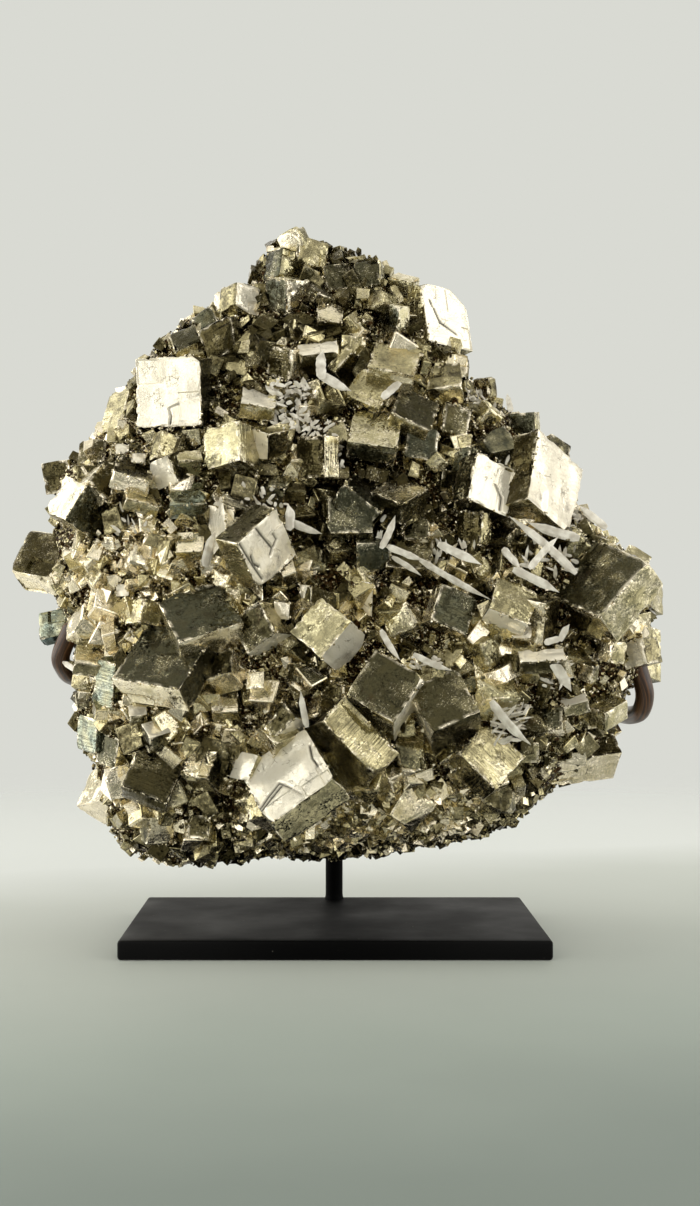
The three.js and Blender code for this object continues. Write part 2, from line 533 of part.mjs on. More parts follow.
/** The specimen: matrix, crystals and quartz in one solid, cut clear of the post and arms. */
function pyriteCluster() {
  const crystals = Object.values(CRYSTALS).map(readCrystal);
  const grown = wasm.Manifold.union([
    matrixSolid(),
    ...crystals.map(crystalBlock),
    ...smallCubes(FRONT_CUBES, true, crystals),
    ...smallCubes(BACK_CUBES, false, crystals),
    ...Object.values(QUARTZ_BLADES).map(quartzBlade),
  ]);
  const room = ROD_RADIUS + CLEARANCE;
  const clear = grown
    .subtract(postSolid(room))
    .subtract(rodSolid(leftArmPath, room))
    .subtract(rodSolid(rightArmPath, room));
  return piece('pyrite_cluster', toGeometry(largestPiece(clear).simplify(SMALLEST_STEP)), pyrite);
}

const specimen = new THREE.Group();
specimen.add(
  basePlate(),
  piece('post', toGeometry(postSolid(ROD_RADIUS)), black),
  arm('left_arm', leftArmPath),
  arm('right_arm', rightArmPath),
  pyriteCluster(),
);

export default specimen;
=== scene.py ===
"""
A pyrite specimen with quartz blades, held by two hooked rods on a small black stand.
Metres, +Z up, the specimen's show side faces -Y. The origin is the middle of the plate's underside.
"""
import functools
import itertools
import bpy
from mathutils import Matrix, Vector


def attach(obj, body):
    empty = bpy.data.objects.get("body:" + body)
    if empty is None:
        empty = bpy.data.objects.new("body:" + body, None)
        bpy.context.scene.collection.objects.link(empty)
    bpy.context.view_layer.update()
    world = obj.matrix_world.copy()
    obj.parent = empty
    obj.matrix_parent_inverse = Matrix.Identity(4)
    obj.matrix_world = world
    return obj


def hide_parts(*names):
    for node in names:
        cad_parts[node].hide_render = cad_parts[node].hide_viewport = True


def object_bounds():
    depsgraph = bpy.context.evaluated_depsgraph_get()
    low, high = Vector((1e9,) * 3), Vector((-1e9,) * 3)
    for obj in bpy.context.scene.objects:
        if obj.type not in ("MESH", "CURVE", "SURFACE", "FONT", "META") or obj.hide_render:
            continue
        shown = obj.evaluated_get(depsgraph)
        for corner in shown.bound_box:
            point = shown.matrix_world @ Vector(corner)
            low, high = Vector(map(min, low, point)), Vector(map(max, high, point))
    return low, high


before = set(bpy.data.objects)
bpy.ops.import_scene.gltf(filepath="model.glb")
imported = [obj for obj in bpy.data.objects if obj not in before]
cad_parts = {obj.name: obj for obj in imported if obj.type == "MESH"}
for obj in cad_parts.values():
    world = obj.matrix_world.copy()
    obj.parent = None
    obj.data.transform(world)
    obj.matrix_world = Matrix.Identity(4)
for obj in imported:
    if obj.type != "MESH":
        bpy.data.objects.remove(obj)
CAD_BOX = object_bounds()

from types import SimpleNamespace

import bpy
import numpy as np
from mathutils import Vector

bl_info = {
    "name": "Mounted pyrite specimen",
    "version": (1, 0, 0),
    "blender": (4, 5, 0),
    "location": "View3D > Sidebar > Specimen",
    "description": "Grows a pyrite cluster with quartz blades and the stand that holds it",
    "category": "Add Mesh",
}

MM = 0.001

# The eye that the specimen was measured from, and the scale of its picture.
PICTURE_WIDTH = 700
PICTURE_HEIGHT = 1206
EYE = np.array([-2.3, -553.0, 102.5]) * MM
EYE_PIXEL = np.array([328.0, 641.0])
PIXELS_PER_UNIT_SLOPE = 1588.0

# Stand: quarter-inch plate and quarter-inch rod.
PLATE_WIDTH = 140 * MM
PLATE_DEPTH = 88 * MM
PLATE_THICKNESS = 6.35 * MM
ROD_RADIUS = 3.175 * MM
POST_HEIGHT = 96 * MM
POST_FROM_BACK_EDGE = 0.8 * MM
POST_Y = PLATE_DEPTH / 2 - ROD_RADIUS - POST_FROM_BACK_EDGE

# The centre lines of the hooked arms, in millimetres, from the post round the specimen to the tips.
POST_Y_MM = POST_Y / MM
LEFT_ARM_POINTS = [
    (-1, POST_Y_MM, 88), (-50, POST_Y_MM - 0.5, 88), (-73, 33, 88.3), (-88, 17, 89),
    (-92, 4, 90.2), (-93.2, -4, 92.6), (-94, -8.5, 97), (-90.5, -9, 106),
]
RIGHT_ARM_POINTS = [
    (1, POST_Y_MM, 76.5), (62, POST_Y_MM - 0.5, 76.5), (86, 34, 76.5), (100.5, 19, 76.5),
    (104.5, 5, 76.5), (106, -4.5, 78.9), (106.3, -8.5, 84.5), (103.8, -9, 94),
]

# The matrix: the granular mass that the crystals grow from.
RIM_Y_LOW = -2 * MM
RIM_Y_HIGH = 8 * MM
FRONT_SWELL_LOW = 37 * MM
FRONT_SWELL_HIGH = 19 * MM
BACK_SWELL_LOW = 27 * MM
BACK_SWELL_HIGH = 19 * MM
LOW_Z = 90 * MM
HIGH_Z = 240 * MM
FRONT_LUMP_HEIGHT = 1.6 * MM
BACK_LUMP_HEIGHT = 2.6 * MM
MATRIX_MIDDLE_PIXEL = (345, 590)
MATRIX_OUTLINE_PIXELS = [
    (286, 229), (330, 246), (378, 257), (396, 280), (424, 304), (456, 334), (464, 372), (490, 400),
    (530, 426), (558, 458), (572, 505), (600, 534), (640, 566), (650, 610), (644, 660), (618, 700),
    (604, 740), (562, 778), (535, 793), (505, 822), (420, 841), (355, 851), (270, 849), (170, 860),
    (125, 844), (104, 800), (98, 765), (82, 735), (80, 690), (78, 645), (60, 602), (52, 560),
    (58, 520), (58, 478), (88, 448), (116, 404), (142, 366), (170, 332), (210, 303), (254, 279),
    (267, 248),
]

# Each crystal by its best seen face, grouped by how that face looks: the pixel of one corner, the
# pixels of the two corners next to it, and the side that the face is turned to. "proud" is how far the
# middle of the face stands out of the matrix, in edge lengths. "ratio" is the second edge over the
# first, and "deep" is the hidden edge over the first.
# A group's tone is painted into the seen face's mirror colour: painted highlight on bright faces, painted
# shade on dark ones.
BRIGHT = dict(
    rounded_grey=((213, 292), (237, 283), (212, 316), "left"),
    pale_brown_prism=((273, 741), (296, 718), (289, 745), "down", dict(deep=0.6)),
    pale_shelf=((517, 650), (563, 648), (520, 662), "up", dict(ratio=0.4, deep=0.35)),
    pale_below_big=((141, 724), (162, 718), (150, 738), "up", dict(proud=0.8)),
    gold_small_left=((128, 704), (146, 702), (129, 716), "up", dict(proud=0.9)),
    pale_upper_middle=((243, 386), (277, 391), (241, 403), "up", dict(deep=0.5)),
    pale_wedge=((297, 345), (337, 340), (299, 356), "up", dict(ratio=0.5)),
    pale_step_right=((512, 624), (531, 624), (513, 638), "up", dict(proud=0.9)),
    upper_left_cube=((199, 356), (136, 360), (200, 424), "left"),
    white_prism=((147, 464), (167, 456), (158, 490), "left", dict(proud=0.8)),
    rounded_white=((237, 281), (262, 288), (235, 310), "right", dict(proud=0.8)),
    upper_right_white=((421, 283), (464, 294), (430, 340), "right"),
    bright_flash=((250, 428), (268, 434), (249, 455), "left", dict(proud=0.8)),
    right_white_cube=((516, 471), (478, 452), (507, 517), "up", dict(deep=0.55, proud=0.8)),
    far_right_white_cube=((539, 430), (583, 470), (530, 498), "right"),
    white_cube_right=((620, 644), (641, 638), (626, 670), "left", dict(proud=0.9)),
    center_cracked_cube=((276, 509), (296, 555), (239, 544), "right", dict(deep=0.55, proud=0.85)),
    small_white_upper=((299, 584), (312, 586), (298, 600), "left", dict(proud=1)),
    small_white_lower=((274, 601), (290, 603), (273, 618), "left", dict(proud=1)),
    bright_star=((208, 505), (234, 510), (206, 545), "left", dict(deep=0.6)),
    textured_pale=((352, 622), (369, 638), (322, 658), "right", dict(proud=0.7)),
    white_strip=((361, 581), (373, 583), (360, 615), "left", dict(ratio=2.6, deep=2)),
    bottom_white=((303, 727), (332, 778), (240, 772), "left", dict(deep=0.5, proud=0.7)),
    bottom_white_small=((238, 751), (257, 755), (229, 777), "up", dict(proud=0.9)),
    small_white_a=((114, 443), (130, 442), (113, 455), "left", dict(proud=0.9)),
    small_white_b=((131, 451), (147, 452), (130, 462), "up", dict(proud=0.9)),
    small_white_c=((61, 548), (74, 548), (61, 562), "left", dict(proud=0.9)),
    small_white_d=((115, 583), (129, 582), (115, 597), "left", dict(proud=0.9)),
    white_low_right=((558, 697), (583, 690), (563, 707), "up", dict(deep=0.5)),
)
PALE = dict(
    edge_upper_right=((472, 379), (488, 378), (474, 400), "left", dict(deep=0.6)),
    striated_over_center=((222, 492), (275, 508), (228, 535), "up", dict(deep=0.5, proud=0.3)),
    round_upper_right=((443, 352), (469, 354), (441, 376), "right"),
    brown_cube=((597, 637), (614, 641), (593, 659), "left", dict(proud=0.9)),
    olive_low=((372, 491), (398, 476), (402, 504), "up", dict(deep=0.6)),
    top_peak=((275, 238), (296, 227), (286, 262), "left", dict(deep=0.7)),
    pale_flat_top=((318, 303), (344, 306), (317, 320), "up", dict(deep=0.5)),
    pale_curved=((520, 598), (546, 604), (516, 646), "left", dict(ratio=1.7)),
    pale_left_low=((77, 644), (108, 649), (75, 661), "up", dict(deep=0.5)),
    bottom_left_pyramid=((99, 800), (76, 806), (114, 764), "up", dict(deep=0.9)),
    cracked_pentagon=((191, 749), (217, 752), (181, 775), "left", dict(proud=0.8)),
    bottom_pale=((150, 818), (176, 816), (147, 845), "down", dict(deep=0.7)),
    pale_middle_left=((177, 532), (205, 531), (175, 552), "up", dict(deep=0.5)),
    pale_slab=((331, 781), (360, 799), (281, 800), "down", dict(deep=0.6)),
    low_slab=((250, 821), (300, 801), (270, 835), "down", dict(deep=0.5)),
    lower_right_cube=((621, 753), (556, 763), (613, 778), "down", dict(ratio=0.6)),
    pale_square=((247, 672), (264, 671), (246, 689), "left", dict(proud=0.9)),
    grey_gold_square=((211, 690), (238, 688), (211, 713), "left", dict(deep=0.6)),
    striated_edge=((258, 726), (275, 745), (257, 748), "left", dict(proud=0.8)),
    pale_right=((577, 661), (593, 668), (575, 678), "left", dict(deep=0.6)),
    low_triangle_left=((440, 763), (457, 751), (455, 772), "down"),
    low_triangle_right=((444, 776), (458, 767), (462, 787), "down"),
)
OLIVE = dict(
    striated_upper=((203, 430), (237, 420), (205, 470), "left", dict(proud=0.7)),
    thin_edge_right=((650, 571), (663, 580), (650, 606), "right", dict(deep=0.6)),
    pale_edge_right=((630, 543), (652, 557), (624, 556), "right", dict(deep=0.6)),
    dark_top_right=((388, 276), (412, 282), (386, 302), "left", dict(deep=0.7)),
    dark_small=((178, 462), (203, 460), (177, 481), "down", dict(deep=0.6)),
    pale_striated_left=((110, 394), (131, 386), (98, 434), "left", dict(ratio=1.6)),
    pale_tall_left=((128, 600), (143, 598), (125, 624), "left", dict(proud=0.8)),
    small_square=((162, 430), (187, 439), (157, 457), "up", dict(deep=0.6)),
    bottom_center_prism=(
        (323, 721), (345, 697), (377, 777), "up", dict(ratio=2.2, deep=1.7, proud=1.1),
    ),
    bottom_right_crystal=((488, 720), (525, 757), (459, 752), "up", dict(deep=0.6)),
    top_ridge=((300, 234), (330, 243), (297, 260), "up", dict(deep=0.6)),
    grey_upper_left=((125, 481), (158, 489), (127, 498), "up", dict(deep=0.4)),
    olive_high=((376, 341), (422, 350), (368, 366), "up", dict(deep=0.5)),
    olive_middle=((362, 367), (396, 382), (345, 394), "up", dict(deep=0.5)),
    olive_hexagon=((354, 409), (403, 416), (348, 441), "up", dict(deep=0.45)),
    two_tone_right=((498, 575), (538, 592), (490, 608), "up", dict(deep=0.5)),
    mottled_right=((646, 624), (661, 630), (646, 676), "right", dict(ratio=2)),
    grey_low_right=((600, 690), (627, 700), (578, 703), "up", dict(deep=0.6)),
)
BLUE = dict(
    blue_rounded=((168, 484), (203, 482), (170, 505), "up", dict(deep=0.5)),
    left_stripe_low=((78, 714), (97, 720), (76, 748), "left", dict(deep=0.7)),
    left_blue_lump=((37, 612), (66, 606), (38, 640), "up", dict(deep=0.6)),
    blue_striped=((95, 658), (115, 664), (92, 704), "left", dict(ratio=1.7)),
)
DARK = dict(
    bottom_small_cube=((189, 814), (211, 816), (186, 838), "left", dict(deep=0.7)),
    peak_left=((265, 252), (283, 246), (261, 281), "left", dict(deep=0.7)),
    square_middle=((457, 511), (482, 512), (455, 543), "left", dict(deep=0.5)),
    gold_dark=((321, 679), (343, 684), (318, 708), "left", dict(deep=0.6)),
    behind_far_right=((551, 433), (571, 446), (549, 456), "right"),
    left_pale_low=((100, 730), (119, 738), (95, 762), "left", dict(deep=0.7)),
    left_dark_corner=((41, 464), (68, 459), (46, 495), "left", dict(deep=0.7)),
    brown_left_top=((80, 441), (107, 438), (77, 464), "left"),
    left_low_lump=((75, 692), (92, 691), (76, 710), "left", dict(deep=0.7)),
    ringed_crystal=((286, 664), (302, 663), (286, 684), "left", dict(deep=0.6)),
    brown_top_right=((352, 262), (380, 258), (352, 288), "left", dict(deep=0.7)),
    left_edge_cube=((49, 577), (8, 570), (70, 536), "up", dict(deep=0.75)),
    left_large_dark=((66, 520), (88, 484), (95, 541), "right"),
    left_top_dark=((88, 480), (104, 463), (107, 502), "right", dict(proud=0.9)),
    dark_upper_left=((113, 470), (122, 454), (151, 482), "up", dict(deep=0.5)),
    dark_slope_low=((168, 334), (196, 322), (174, 352), "left", dict(deep=0.7)),
    dark_slope_high=((190, 318), (210, 304), (200, 336), "left", dict(deep=0.7)),
    dark_top=((264, 277), (287, 280), (263, 311), "left"),
    dark_top_middle=((322, 264), (350, 262), (327, 290), "up", dict(deep=0.6)),
    dark_striped_left=((268, 346), (292, 350), (265, 376), "left", dict(deep=0.6)),
    dark_striated_middle=((402, 386), (440, 404), (392, 412), "up", dict(deep=0.5)),
    dark_below_striated=((408, 424), (440, 430), (404, 456), "up", dict(deep=0.5)),
    dark_far_middle=((446, 402), (472, 410), (442, 430), "up", dict(deep=0.5)),
    dark_by_white=((446, 452), (470, 446), (446, 480), "left", dict(deep=0.6)),
    dark_cube_upper=((353, 351), (335, 372), (366, 366), "down", dict(deep=0.5)),
    dark_upper_middle=((380, 303), (399, 307), (378, 330), "left", dict(deep=0.6)),
    dark_by_far_right=((508, 414), (534, 412), (510, 442), "left", dict(deep=0.5)),
    right_big_cube=((600, 616), (645, 561), (550, 595), "up", dict(deep=0.55)),
    lower_left_big_cube=((178, 688), (113, 678), (214, 632), "up", dict(deep=0.4)),
    middle_left_cube=((242, 622), (179, 641), (220, 580), "up", dict(deep=0.45)),
    black_rough=((140, 742), (187, 761), (120, 785), "up", dict(deep=0.6)),
    two_tone_cube=((275, 633), (247, 654), (258, 601), "left", dict(proud=0.8)),
    dark_centre_cube=((424, 677), (376, 649), (394, 722), "up", dict(proud=0.7)),
    second_dark_cube=((479, 711), (456, 667), (430, 733), "up", dict(proud=0.6)),
    striated_brown=((443, 582), (478, 599), (431, 619), "up", dict(deep=0.5)),
    dark_rounded=((404, 517), (430, 516), (403, 540), "left", dict(deep=0.6)),
    dark_striated_high=((296, 438), (324, 436), (297, 479), "left", dict(deep=0.5)),
    black_pit=((328, 493), (373, 492), (327, 533), "up", dict(deep=0.4)),
    thin_edge_cube=((345, 483), (358, 470), (380, 512), "up", dict(deep=0.6)),
    small_dark_square=((207, 655), (233, 648), (205, 679), "left", dict(proud=0.9)),
    dark_low_right=((537, 706), (563, 704), (536, 731), "left", dict(deep=0.6)),
)
CRYSTALS = dict(bright=BRIGHT, pale=PALE, olive=OLIVE, blue=BLUE, dark=DARK)

# The crystals whose faces carry deep growth lines.
STRIATED = {
    "striated_upper", "striated_over_center", "striated_brown", "striated_edge", "pale_striated_left",
    "dark_striated_middle", "dark_striated_high", "dark_below_striated", "bottom_center_prism",
    "lower_right_cube", "blue_striped", "left_stripe_low", "pale_wedge", "black_rough",
    "bottom_right_crystal", "dark_by_white", "dark_striped_left", "dark_far_middle",
}

# The crystals that are worn round.
ROUNDED = {
    "top_peak", "peak_left", "dark_top", "dark_top_middle", "dark_top_right", "brown_top_right",
    "rounded_grey", "rounded_white", "round_upper_right", "dark_rounded", "left_low_lump",
    "left_blue_lump", "ringed_crystal", "gold_dark", "dark_slope_low", "dark_slope_high", "top_ridge",
    "black_rough", "edge_upper_right", "left_edge_cube", "small_white_a", "small_white_b",
    "small_white_c", "small_white_d",
}

# Open cracks on six faces, each a line of pixels.
CRACKS = dict(
    upper_left_cube=[
        [(205, 392), (194, 397), (182, 402), (169, 408), (171, 416), (170, 424)],
    ],
    center_cracked_cube=[
        [(256, 528), (262, 536), (267, 542), (272, 548), (270, 555)],
        [(273, 534), (276, 539), (273, 547)],
        [(251, 556), (254, 564), (259, 567)],
        [(240, 544), (247, 556), (262, 579)],
    ],
    cracked_pentagon=[[(203, 750), (207, 764), (213, 778)]],
    bottom_white=[
        [(256, 814), (268, 797), (279, 783), (290, 787), (301, 793)],
        [(260, 812), (272, 797), (281, 786)],
        [(309, 745), (312, 758), (322, 772)],
    ],
    right_white_cube=[[(500, 470), (496, 484), (502, 498), (500, 510)]],
    upper_right_white=[[(430, 300), (440, 322), (456, 334)]],
)

# Corners that are missing from a seen face, each cut off along the line between two pixels.
CUT_CORNERS = dict(
    upper_right_white=[[(441, 280), (468, 310)], [(466, 305), (477, 340)], [(412, 330), (440, 346)]],
    rounded_white=[[(235, 301), (252, 315)]],
    olive_hexagon=[[(346, 424), (361, 407)], [(404, 436), (391, 451)], [(386, 406), (405, 417)]],
    right_white_cube=[[(462, 489), (473, 464)]],
    far_right_white_cube=[[(583, 480), (569, 533)]],
    white_prism=[[(147, 466), (158, 458)]],
    bottom_white=[[(262, 755), (290, 738)]],
)

# Quartz blades, each from the pixel of its foot to the pixel of its tip, with its width in millimetres.
QUARTZ_BLADES = dict(
    long_left_half=((386, 548), (422, 563), 2.6),
    long_right_half=((418, 561), (488, 601), 2.6),
    long_underside=((391, 558), (420, 577), 2.0),
    slanted_right=((572, 575), (505, 518), 3.2),
    broad_right=((575, 540), (524, 524), 3.8),
    cross_right=((526, 570), (556, 538), 2.6),
    edge_right=((602, 530), (574, 508), 3.4),
    upper_bent_high=((322, 384), (322, 355), 4.0),
    upper_bent_low=((318, 378), (350, 397), 3.6),
    upper_short=((381, 402), (403, 382), 3.0),
    cracked_plate_high=((290, 532), (290, 506), 3.4),
    cracked_plate_low=((288, 522), (322, 536), 3.0),
    left_upright=((207, 568), (217, 532), 3.8),
    middle_upright=((380, 550), (394, 517), 2.8),
    middle_spike=((436, 545), (480, 565), 3.2),
    lower_curved=((412, 654), (450, 671), 2.4),
    lower_needle=((380, 630), (399, 660), 2.4),
    low_middle=((307, 726), (300, 690), 2.4),
    low_right_broad=((548, 660), (568, 690), 4.0),
    right_slab=((510, 570), (556, 592), 3.4),
    right_short=((500, 550), (518, 569), 3.0),
    right_low_tip=((541, 643), (560, 638), 2.4),
    right_low_spike=((556, 641), (565, 624), 2.4),
    spiky_low=((488, 700), (527, 744), 3.4),
    edge_needle=((508, 415), (504, 397), 2.4),
    hook_needle=((80, 670), (65, 660), 2.2),
)

# Sprays of quartz: a middle pixel, how far it reaches to each side in pixels, how many blades, their
# length and width in millimetres, and how they are turned: degrees up from the right, and the fan.
QUARTZ_SPRAYS = dict(
    upper_left_mass=((290, 408), (20, 24), 110, (3.0, 1.3), (60, 340)),
    upper_left_tail=((318, 440), (16, 16), 40, (2.6, 1.1), (-30, 300)),
    upper_middle=((330, 452), (14, 16), 34, (3.0, 1.1), (-50, 200)),
    left_crumbs=((262, 500), (26, 14), 26, (2.4, 1.1), (40, 340)),
    white_cube_crumbs=((515, 459), (16, 8), 24, (2.6, 1.2), (30, 340)),
    far_right_edge=((582, 518), (12, 10), 40, (2.6, 1.5), (45, 300)),
    right_edge_low=((614, 548), (20, 10), 40, (2.4, 1.5), (50, 300)),
    right_spikes=((548, 556), (26, 18), 24, (4.5, 1.1), (130, 140)),
    middle_spikes=((450, 553), (22, 10), 20, (4.0, 1.1), (80, 100)),
    low_spray=((508, 722), (16, 22), 60, (4.5, 1.0), (25, 80)),
    low_middle_bits=((425, 664), (16, 8), 14, (3.4, 0.96), (-20, 80)),
    right_low_bits=((556, 672), (14, 16), 20, (3.4, 1.2), (-40, 160)),
    centre_bits=((372, 530), (16, 16), 14, (3.4, 1.1), (70, 80)),
    upper_right_bits=((470, 400), (24, 14), 26, (3.0, 1.0), (120, 200)),
    left_bits=((130, 520), (22, 14), 14, (3.4, 0.96), (100, 90)),
)

# Other sides whose look the picture shows, by the way that each faces in the picture.
# A named side takes that group's tone: painted shade on a side named dark, a painted highlight on one named
# bright or pale.
OTHER_SIDES = dict(
    thin_edge_cube=dict(rest="dark"),
    black_pit=dict(rest="dark"),
    striated_over_center=dict(left="bright"),
    two_tone_right=dict(down="bright"),
    lower_left_big_cube=dict(right="dark", down="pale"),
    right_big_cube=dict(right="pale", down="pale"),
    far_right_white_cube=dict(left="dark", down="olive"),
    right_white_cube=dict(left="dark", down="dark"),
    center_cracked_cube=dict(left="olive", up="dark"),
    upper_left_cube=dict(right="dark", down="dark"),
    left_edge_cube=dict(down="pale"),
    left_large_dark=dict(left="pale"),
    middle_left_cube=dict(down="pale"),
    bottom_white=dict(right="olive", down="olive"),
    bottom_center_prism=dict(left="dark"),
    bottom_right_crystal=dict(right="bright", left="olive"),
    bottom_left_pyramid=dict(right="olive", down="pale"),
    lower_right_cube=dict(up="dark"),
    two_tone_cube=dict(down="bright"),
    dark_centre_cube=dict(right="bright", down="olive"),
    second_dark_cube=dict(right="pale", down="dark"),
    textured_pale=dict(left="dark", right="olive"),
    olive_hexagon=dict(down="dark"),
    black_rough=dict(right="dark", down="dark"),
)

# Areas where the filler cubes, small cubes and grains are darker or paler, as painted shade and painted
# light: a pixel, the reach in pixels, and the change of tone.
SHADES = dict(
    peak=((335, 275), 75, -0.4),
    left_slope=((225, 335), 45, -0.2),
    black_hollow=((352, 503), 50, -1.1),
    upper_gap=((300, 370), 40, -0.25),
    left_corner=((100, 475), 50, -0.15),
    right_hollow=((475, 480), 40, -0.25),
    low_right=((550, 770), 45, -0.35),
    low_middle=((390, 700), 45, -0.2),
    underside=((330, 885), 42, -0.5),
    rim_right=((500, 838), 32, -0.4),
    rim_left=((230, 872), 36, -0.4),
    left_sparkle=((125, 570), 90, 0.5),
    low_left=((220, 760), 90, 0.22),
    upper_right_edge=((470, 350), 40, 0.2),
    crushed_band=((410, 805), 100, 0.22),
    right_low=((590, 670), 60, 0.12),
)

# Below this pixel row, to the right of this column, the matrix is crushed to flakes, with no cubes. Flakes
# are tried between these angles, in degrees, and outside the innermost share of the matrix's area.
CRUSH_TOP_PIXEL = 788
CRUSH_LEFT_PIXEL = 238
CRUSH_ANGLES = (-155, -25)
CRUSH_INNER_AREA = 0.55

# Filler cubes between the measured crystals, and the larger ones on the back, in a sunflower pattern:
# how many are tried, their sizes in millimetres, and their depth as a share of that, as the least one
# and the spread.
FRONT_CUBES = dict(count=107, smallest=7, largest=12.5)
BACK_CUBES = dict(count=32, smallest=9, largest=19)
FILLER_DEPTH = (0.8, 0.5)
FILLER_SPACING = 0.3
FILLER_REACH = 0.97
FILLER_LOWEST_Z = 43 * MM
ROOM_AT_ARMS = 13 * MM

# Quartz stands this far out of the matrix, and sinks into it towards the outline. The measured blades
# are trimmed by what the picture's blur adds to their width.
QUARTZ_PROUD = 5.8 * MM
QUARTZ_ENDS = 0.98
QUARTZ_SINKS = 0.85
QUARTZ_SINKS_FROM = 0.8
QUARTZ_SINKS_OVER = 0.2
BLADE_TRIM = 0.85

# Blades in sprays, each as the least value and the spread: their lift in degrees, and their length, width
# and height as shares of the spray's. A blade reaches back from its place by a share of its length.
BLADE_LIFT = (-10, 55)
BLADE_LENGTH = (0.55, 0.9)
BLADE_WIDTH = (0.5, 0.7)
BLADE_HEIGHT = (0.35, 0.75)
BLADE_BEHIND = 0.4

# How a grown face is shaped: a swell, growth steps that fade at the edges, chips along the edges where
# noise passes a threshold, and a slow warp of the whole crystal. Worn crystals are rounder and rougher,
# and a cracked face has finer cells.
SWELL_HEIGHT = 0.5 * MM
SWELL_SPACING = 6 * MM
STEPS_A_FACE = 3
STEP_HEIGHT = 0.5 * MM
LOWEST_STEP = 0.3
STEP_SPREAD = 1.2
EDGE_FADE = 0.9 * MM
CHIP_SPACING = 1.6 * MM
CHIP_DEPTH = 1.0 * MM
CHIP_REACH = 1.1 * MM
CHIPS_FROM = 0.55
CHIPS_SPAN = 0.45
WIDEST_BEVEL = 0.4
EDGE_LINE = 0.4
WARP_SPACING = 9 * MM
WARP_HEIGHT = 0.3 * MM
ROUND_BEVEL = 1.4 * MM
ROUND_ROUGHNESS = 1.7
ROUND_SHARE = 0.45
CRACK_HALF_WIDTH = 0.36 * MM
CRACK_DEPTH = 0.6 * MM
CRACKED_CELL = 0.32 * MM

# The tone of a crystal's seen side by its group, and the least tone and the spread of its other sides.
# These tones are painted light and shade, moving each side's mirror colour between dull and fresh.
SEEN_SIDE = 5
SEEN_TONE = dict(bright=1.0, pale=0.78, olive=0.5, blue=0.5, dark=0.05)
OTHER_SIDE_TONE = dict(bright=0.12, pale=0.1, olive=0.15, blue=0.2, dark=0.4, mixed=0.1)
OTHER_SIDE_SPREAD = dict(bright=0.3, pale=0.45, olive=0.5, blue=0.4, dark=0.4, mixed=0.7)

# How strong the growth lines and the tarnish are, by chance, on the crystals that don't show theirs.
FAINTEST_LINES = 0.03
LINES_SPREAD = 0.3
SMALL_LINES_SPREAD = 0.35
TARNISH_SPREAD = 0.25
SIDE_TONE_SPREAD = 0.35
BRIGHTEST_SMALL = 0.9

# Broken corners: how many a crystal loses, and how near its middle the cuts come, as a share of the
# way to the corner. A cut read from the picture leans back a little.
CUTS_A_CRYSTAL = 3
NEAREST_CUT = 0.5
NEAREST_CUT_ON_MEASURED = 0.84
FARTHEST_CUT = 0.92
CUTS_A_GRAIN = 4
CUT_LEAN = 0.3
CUT_EVENNESS = 0.2

# The small cubes, the grains and the flakes of the crushed band. "rim_share" of them are drawn to the
# rim, the sizes are in millimetres, a higher power favours small ones, "lift" is how far out they are
# moved at most, in their own sizes, and the tones are the shares of very dark, dull, pale and bright.
SMALL_CUBES = dict(rim_share=0.25, sizes=(2.6, 9.0), power=1.5, lift=0.5, tones=(0.32, 0.26, 0.24, 0.18))
# The grains are mostly very dark: painted shade in the gaps between the crystals.
GRAINS = dict(rim_share=0.3, sizes=(0.6, 2.3), power=1.8, lift=1.4, tones=(0.46, 0.18, 0.16, 0.2))
FLAKES = dict(rim_share=0.3, sizes=(1.0, 5.0), power=1.5, lift=0.5, tones=(0.24, 0.36, 0.28, 0.12))
FOUR_TONES = (0.06, 0.35, 0.65, 0.9)
# Cubes that stand further out are paler and sunk ones darker: painted shade in the hollows.
RAISED_TONE = 0.25
PROPORTIONS = (0.5, 1.35)
SMALL_CUBE_BEVEL = 0.07

# They are smaller near the outline, and are sunk into the matrix by a share of their size. They leave
# room, in their own sizes, to the CAD box, the arms, the sight of a measured face, and what a bright
# face mirrors within a reach.
RIM_BAND = 0.22
RIM_STARTS = 0.86
CRUSHED_RIM_SIZE = 0.65
RIM_SIZE = 0.5
SUNK = 0.2
ROOM_TO_BOX = 0.8
ROOM_TO_ARM = 0.75
ROOM_BEFORE_FACE = 0.45
ROOM_IN_MIRROR = 0.5
CLEAR_REACH = 16 * MM
BURIED_DEPTH = 0.4 * MM
FACE_MARGIN = 0.3 * MM

# Worn edges, paled to fresh as real wear and painted glints, and the crumbs along them.
WORN_GLINT_REACH = 0.4 * MM
WORN_GLINT_GAIN = 3.5
WORN_GLINT_FROM = 1.4
CRUMB_SPACING = 0.8 * MM
CRUMB_SPREAD = 0.25 * MM
CRUMB_CLUMP = 3.5 * MM
CRUMBS_END = 0.93
# Crumb tones run pale to bright: the crumbs are painted glints along the edges.
CRUMB_GLINT_TONES = (0.45, 1)
SMALLEST_CRUMB = 0.3 * MM
LARGEST_CRUMB = 0.8 * MM
CRUMB_POWER = 1.5

# Finishes: how strongly facets tilt, the dark of a crack, which is painted shade inside it, the kind of
# noise on a face's own map, by how many millimetres that is shifted at most, and the sharpest edge that
# is shaded smooth.
FACET_TILT = 0.7
GRAIN_FACET_TILT = 1.6
CRACK_SHADE_COLOUR = "#120C06"
ON_MAP = dict(noise_dimensions="2D")
MAP_SHIFT = 200
SHARPEST_SMOOTH_ANGLE = np.radians(36)

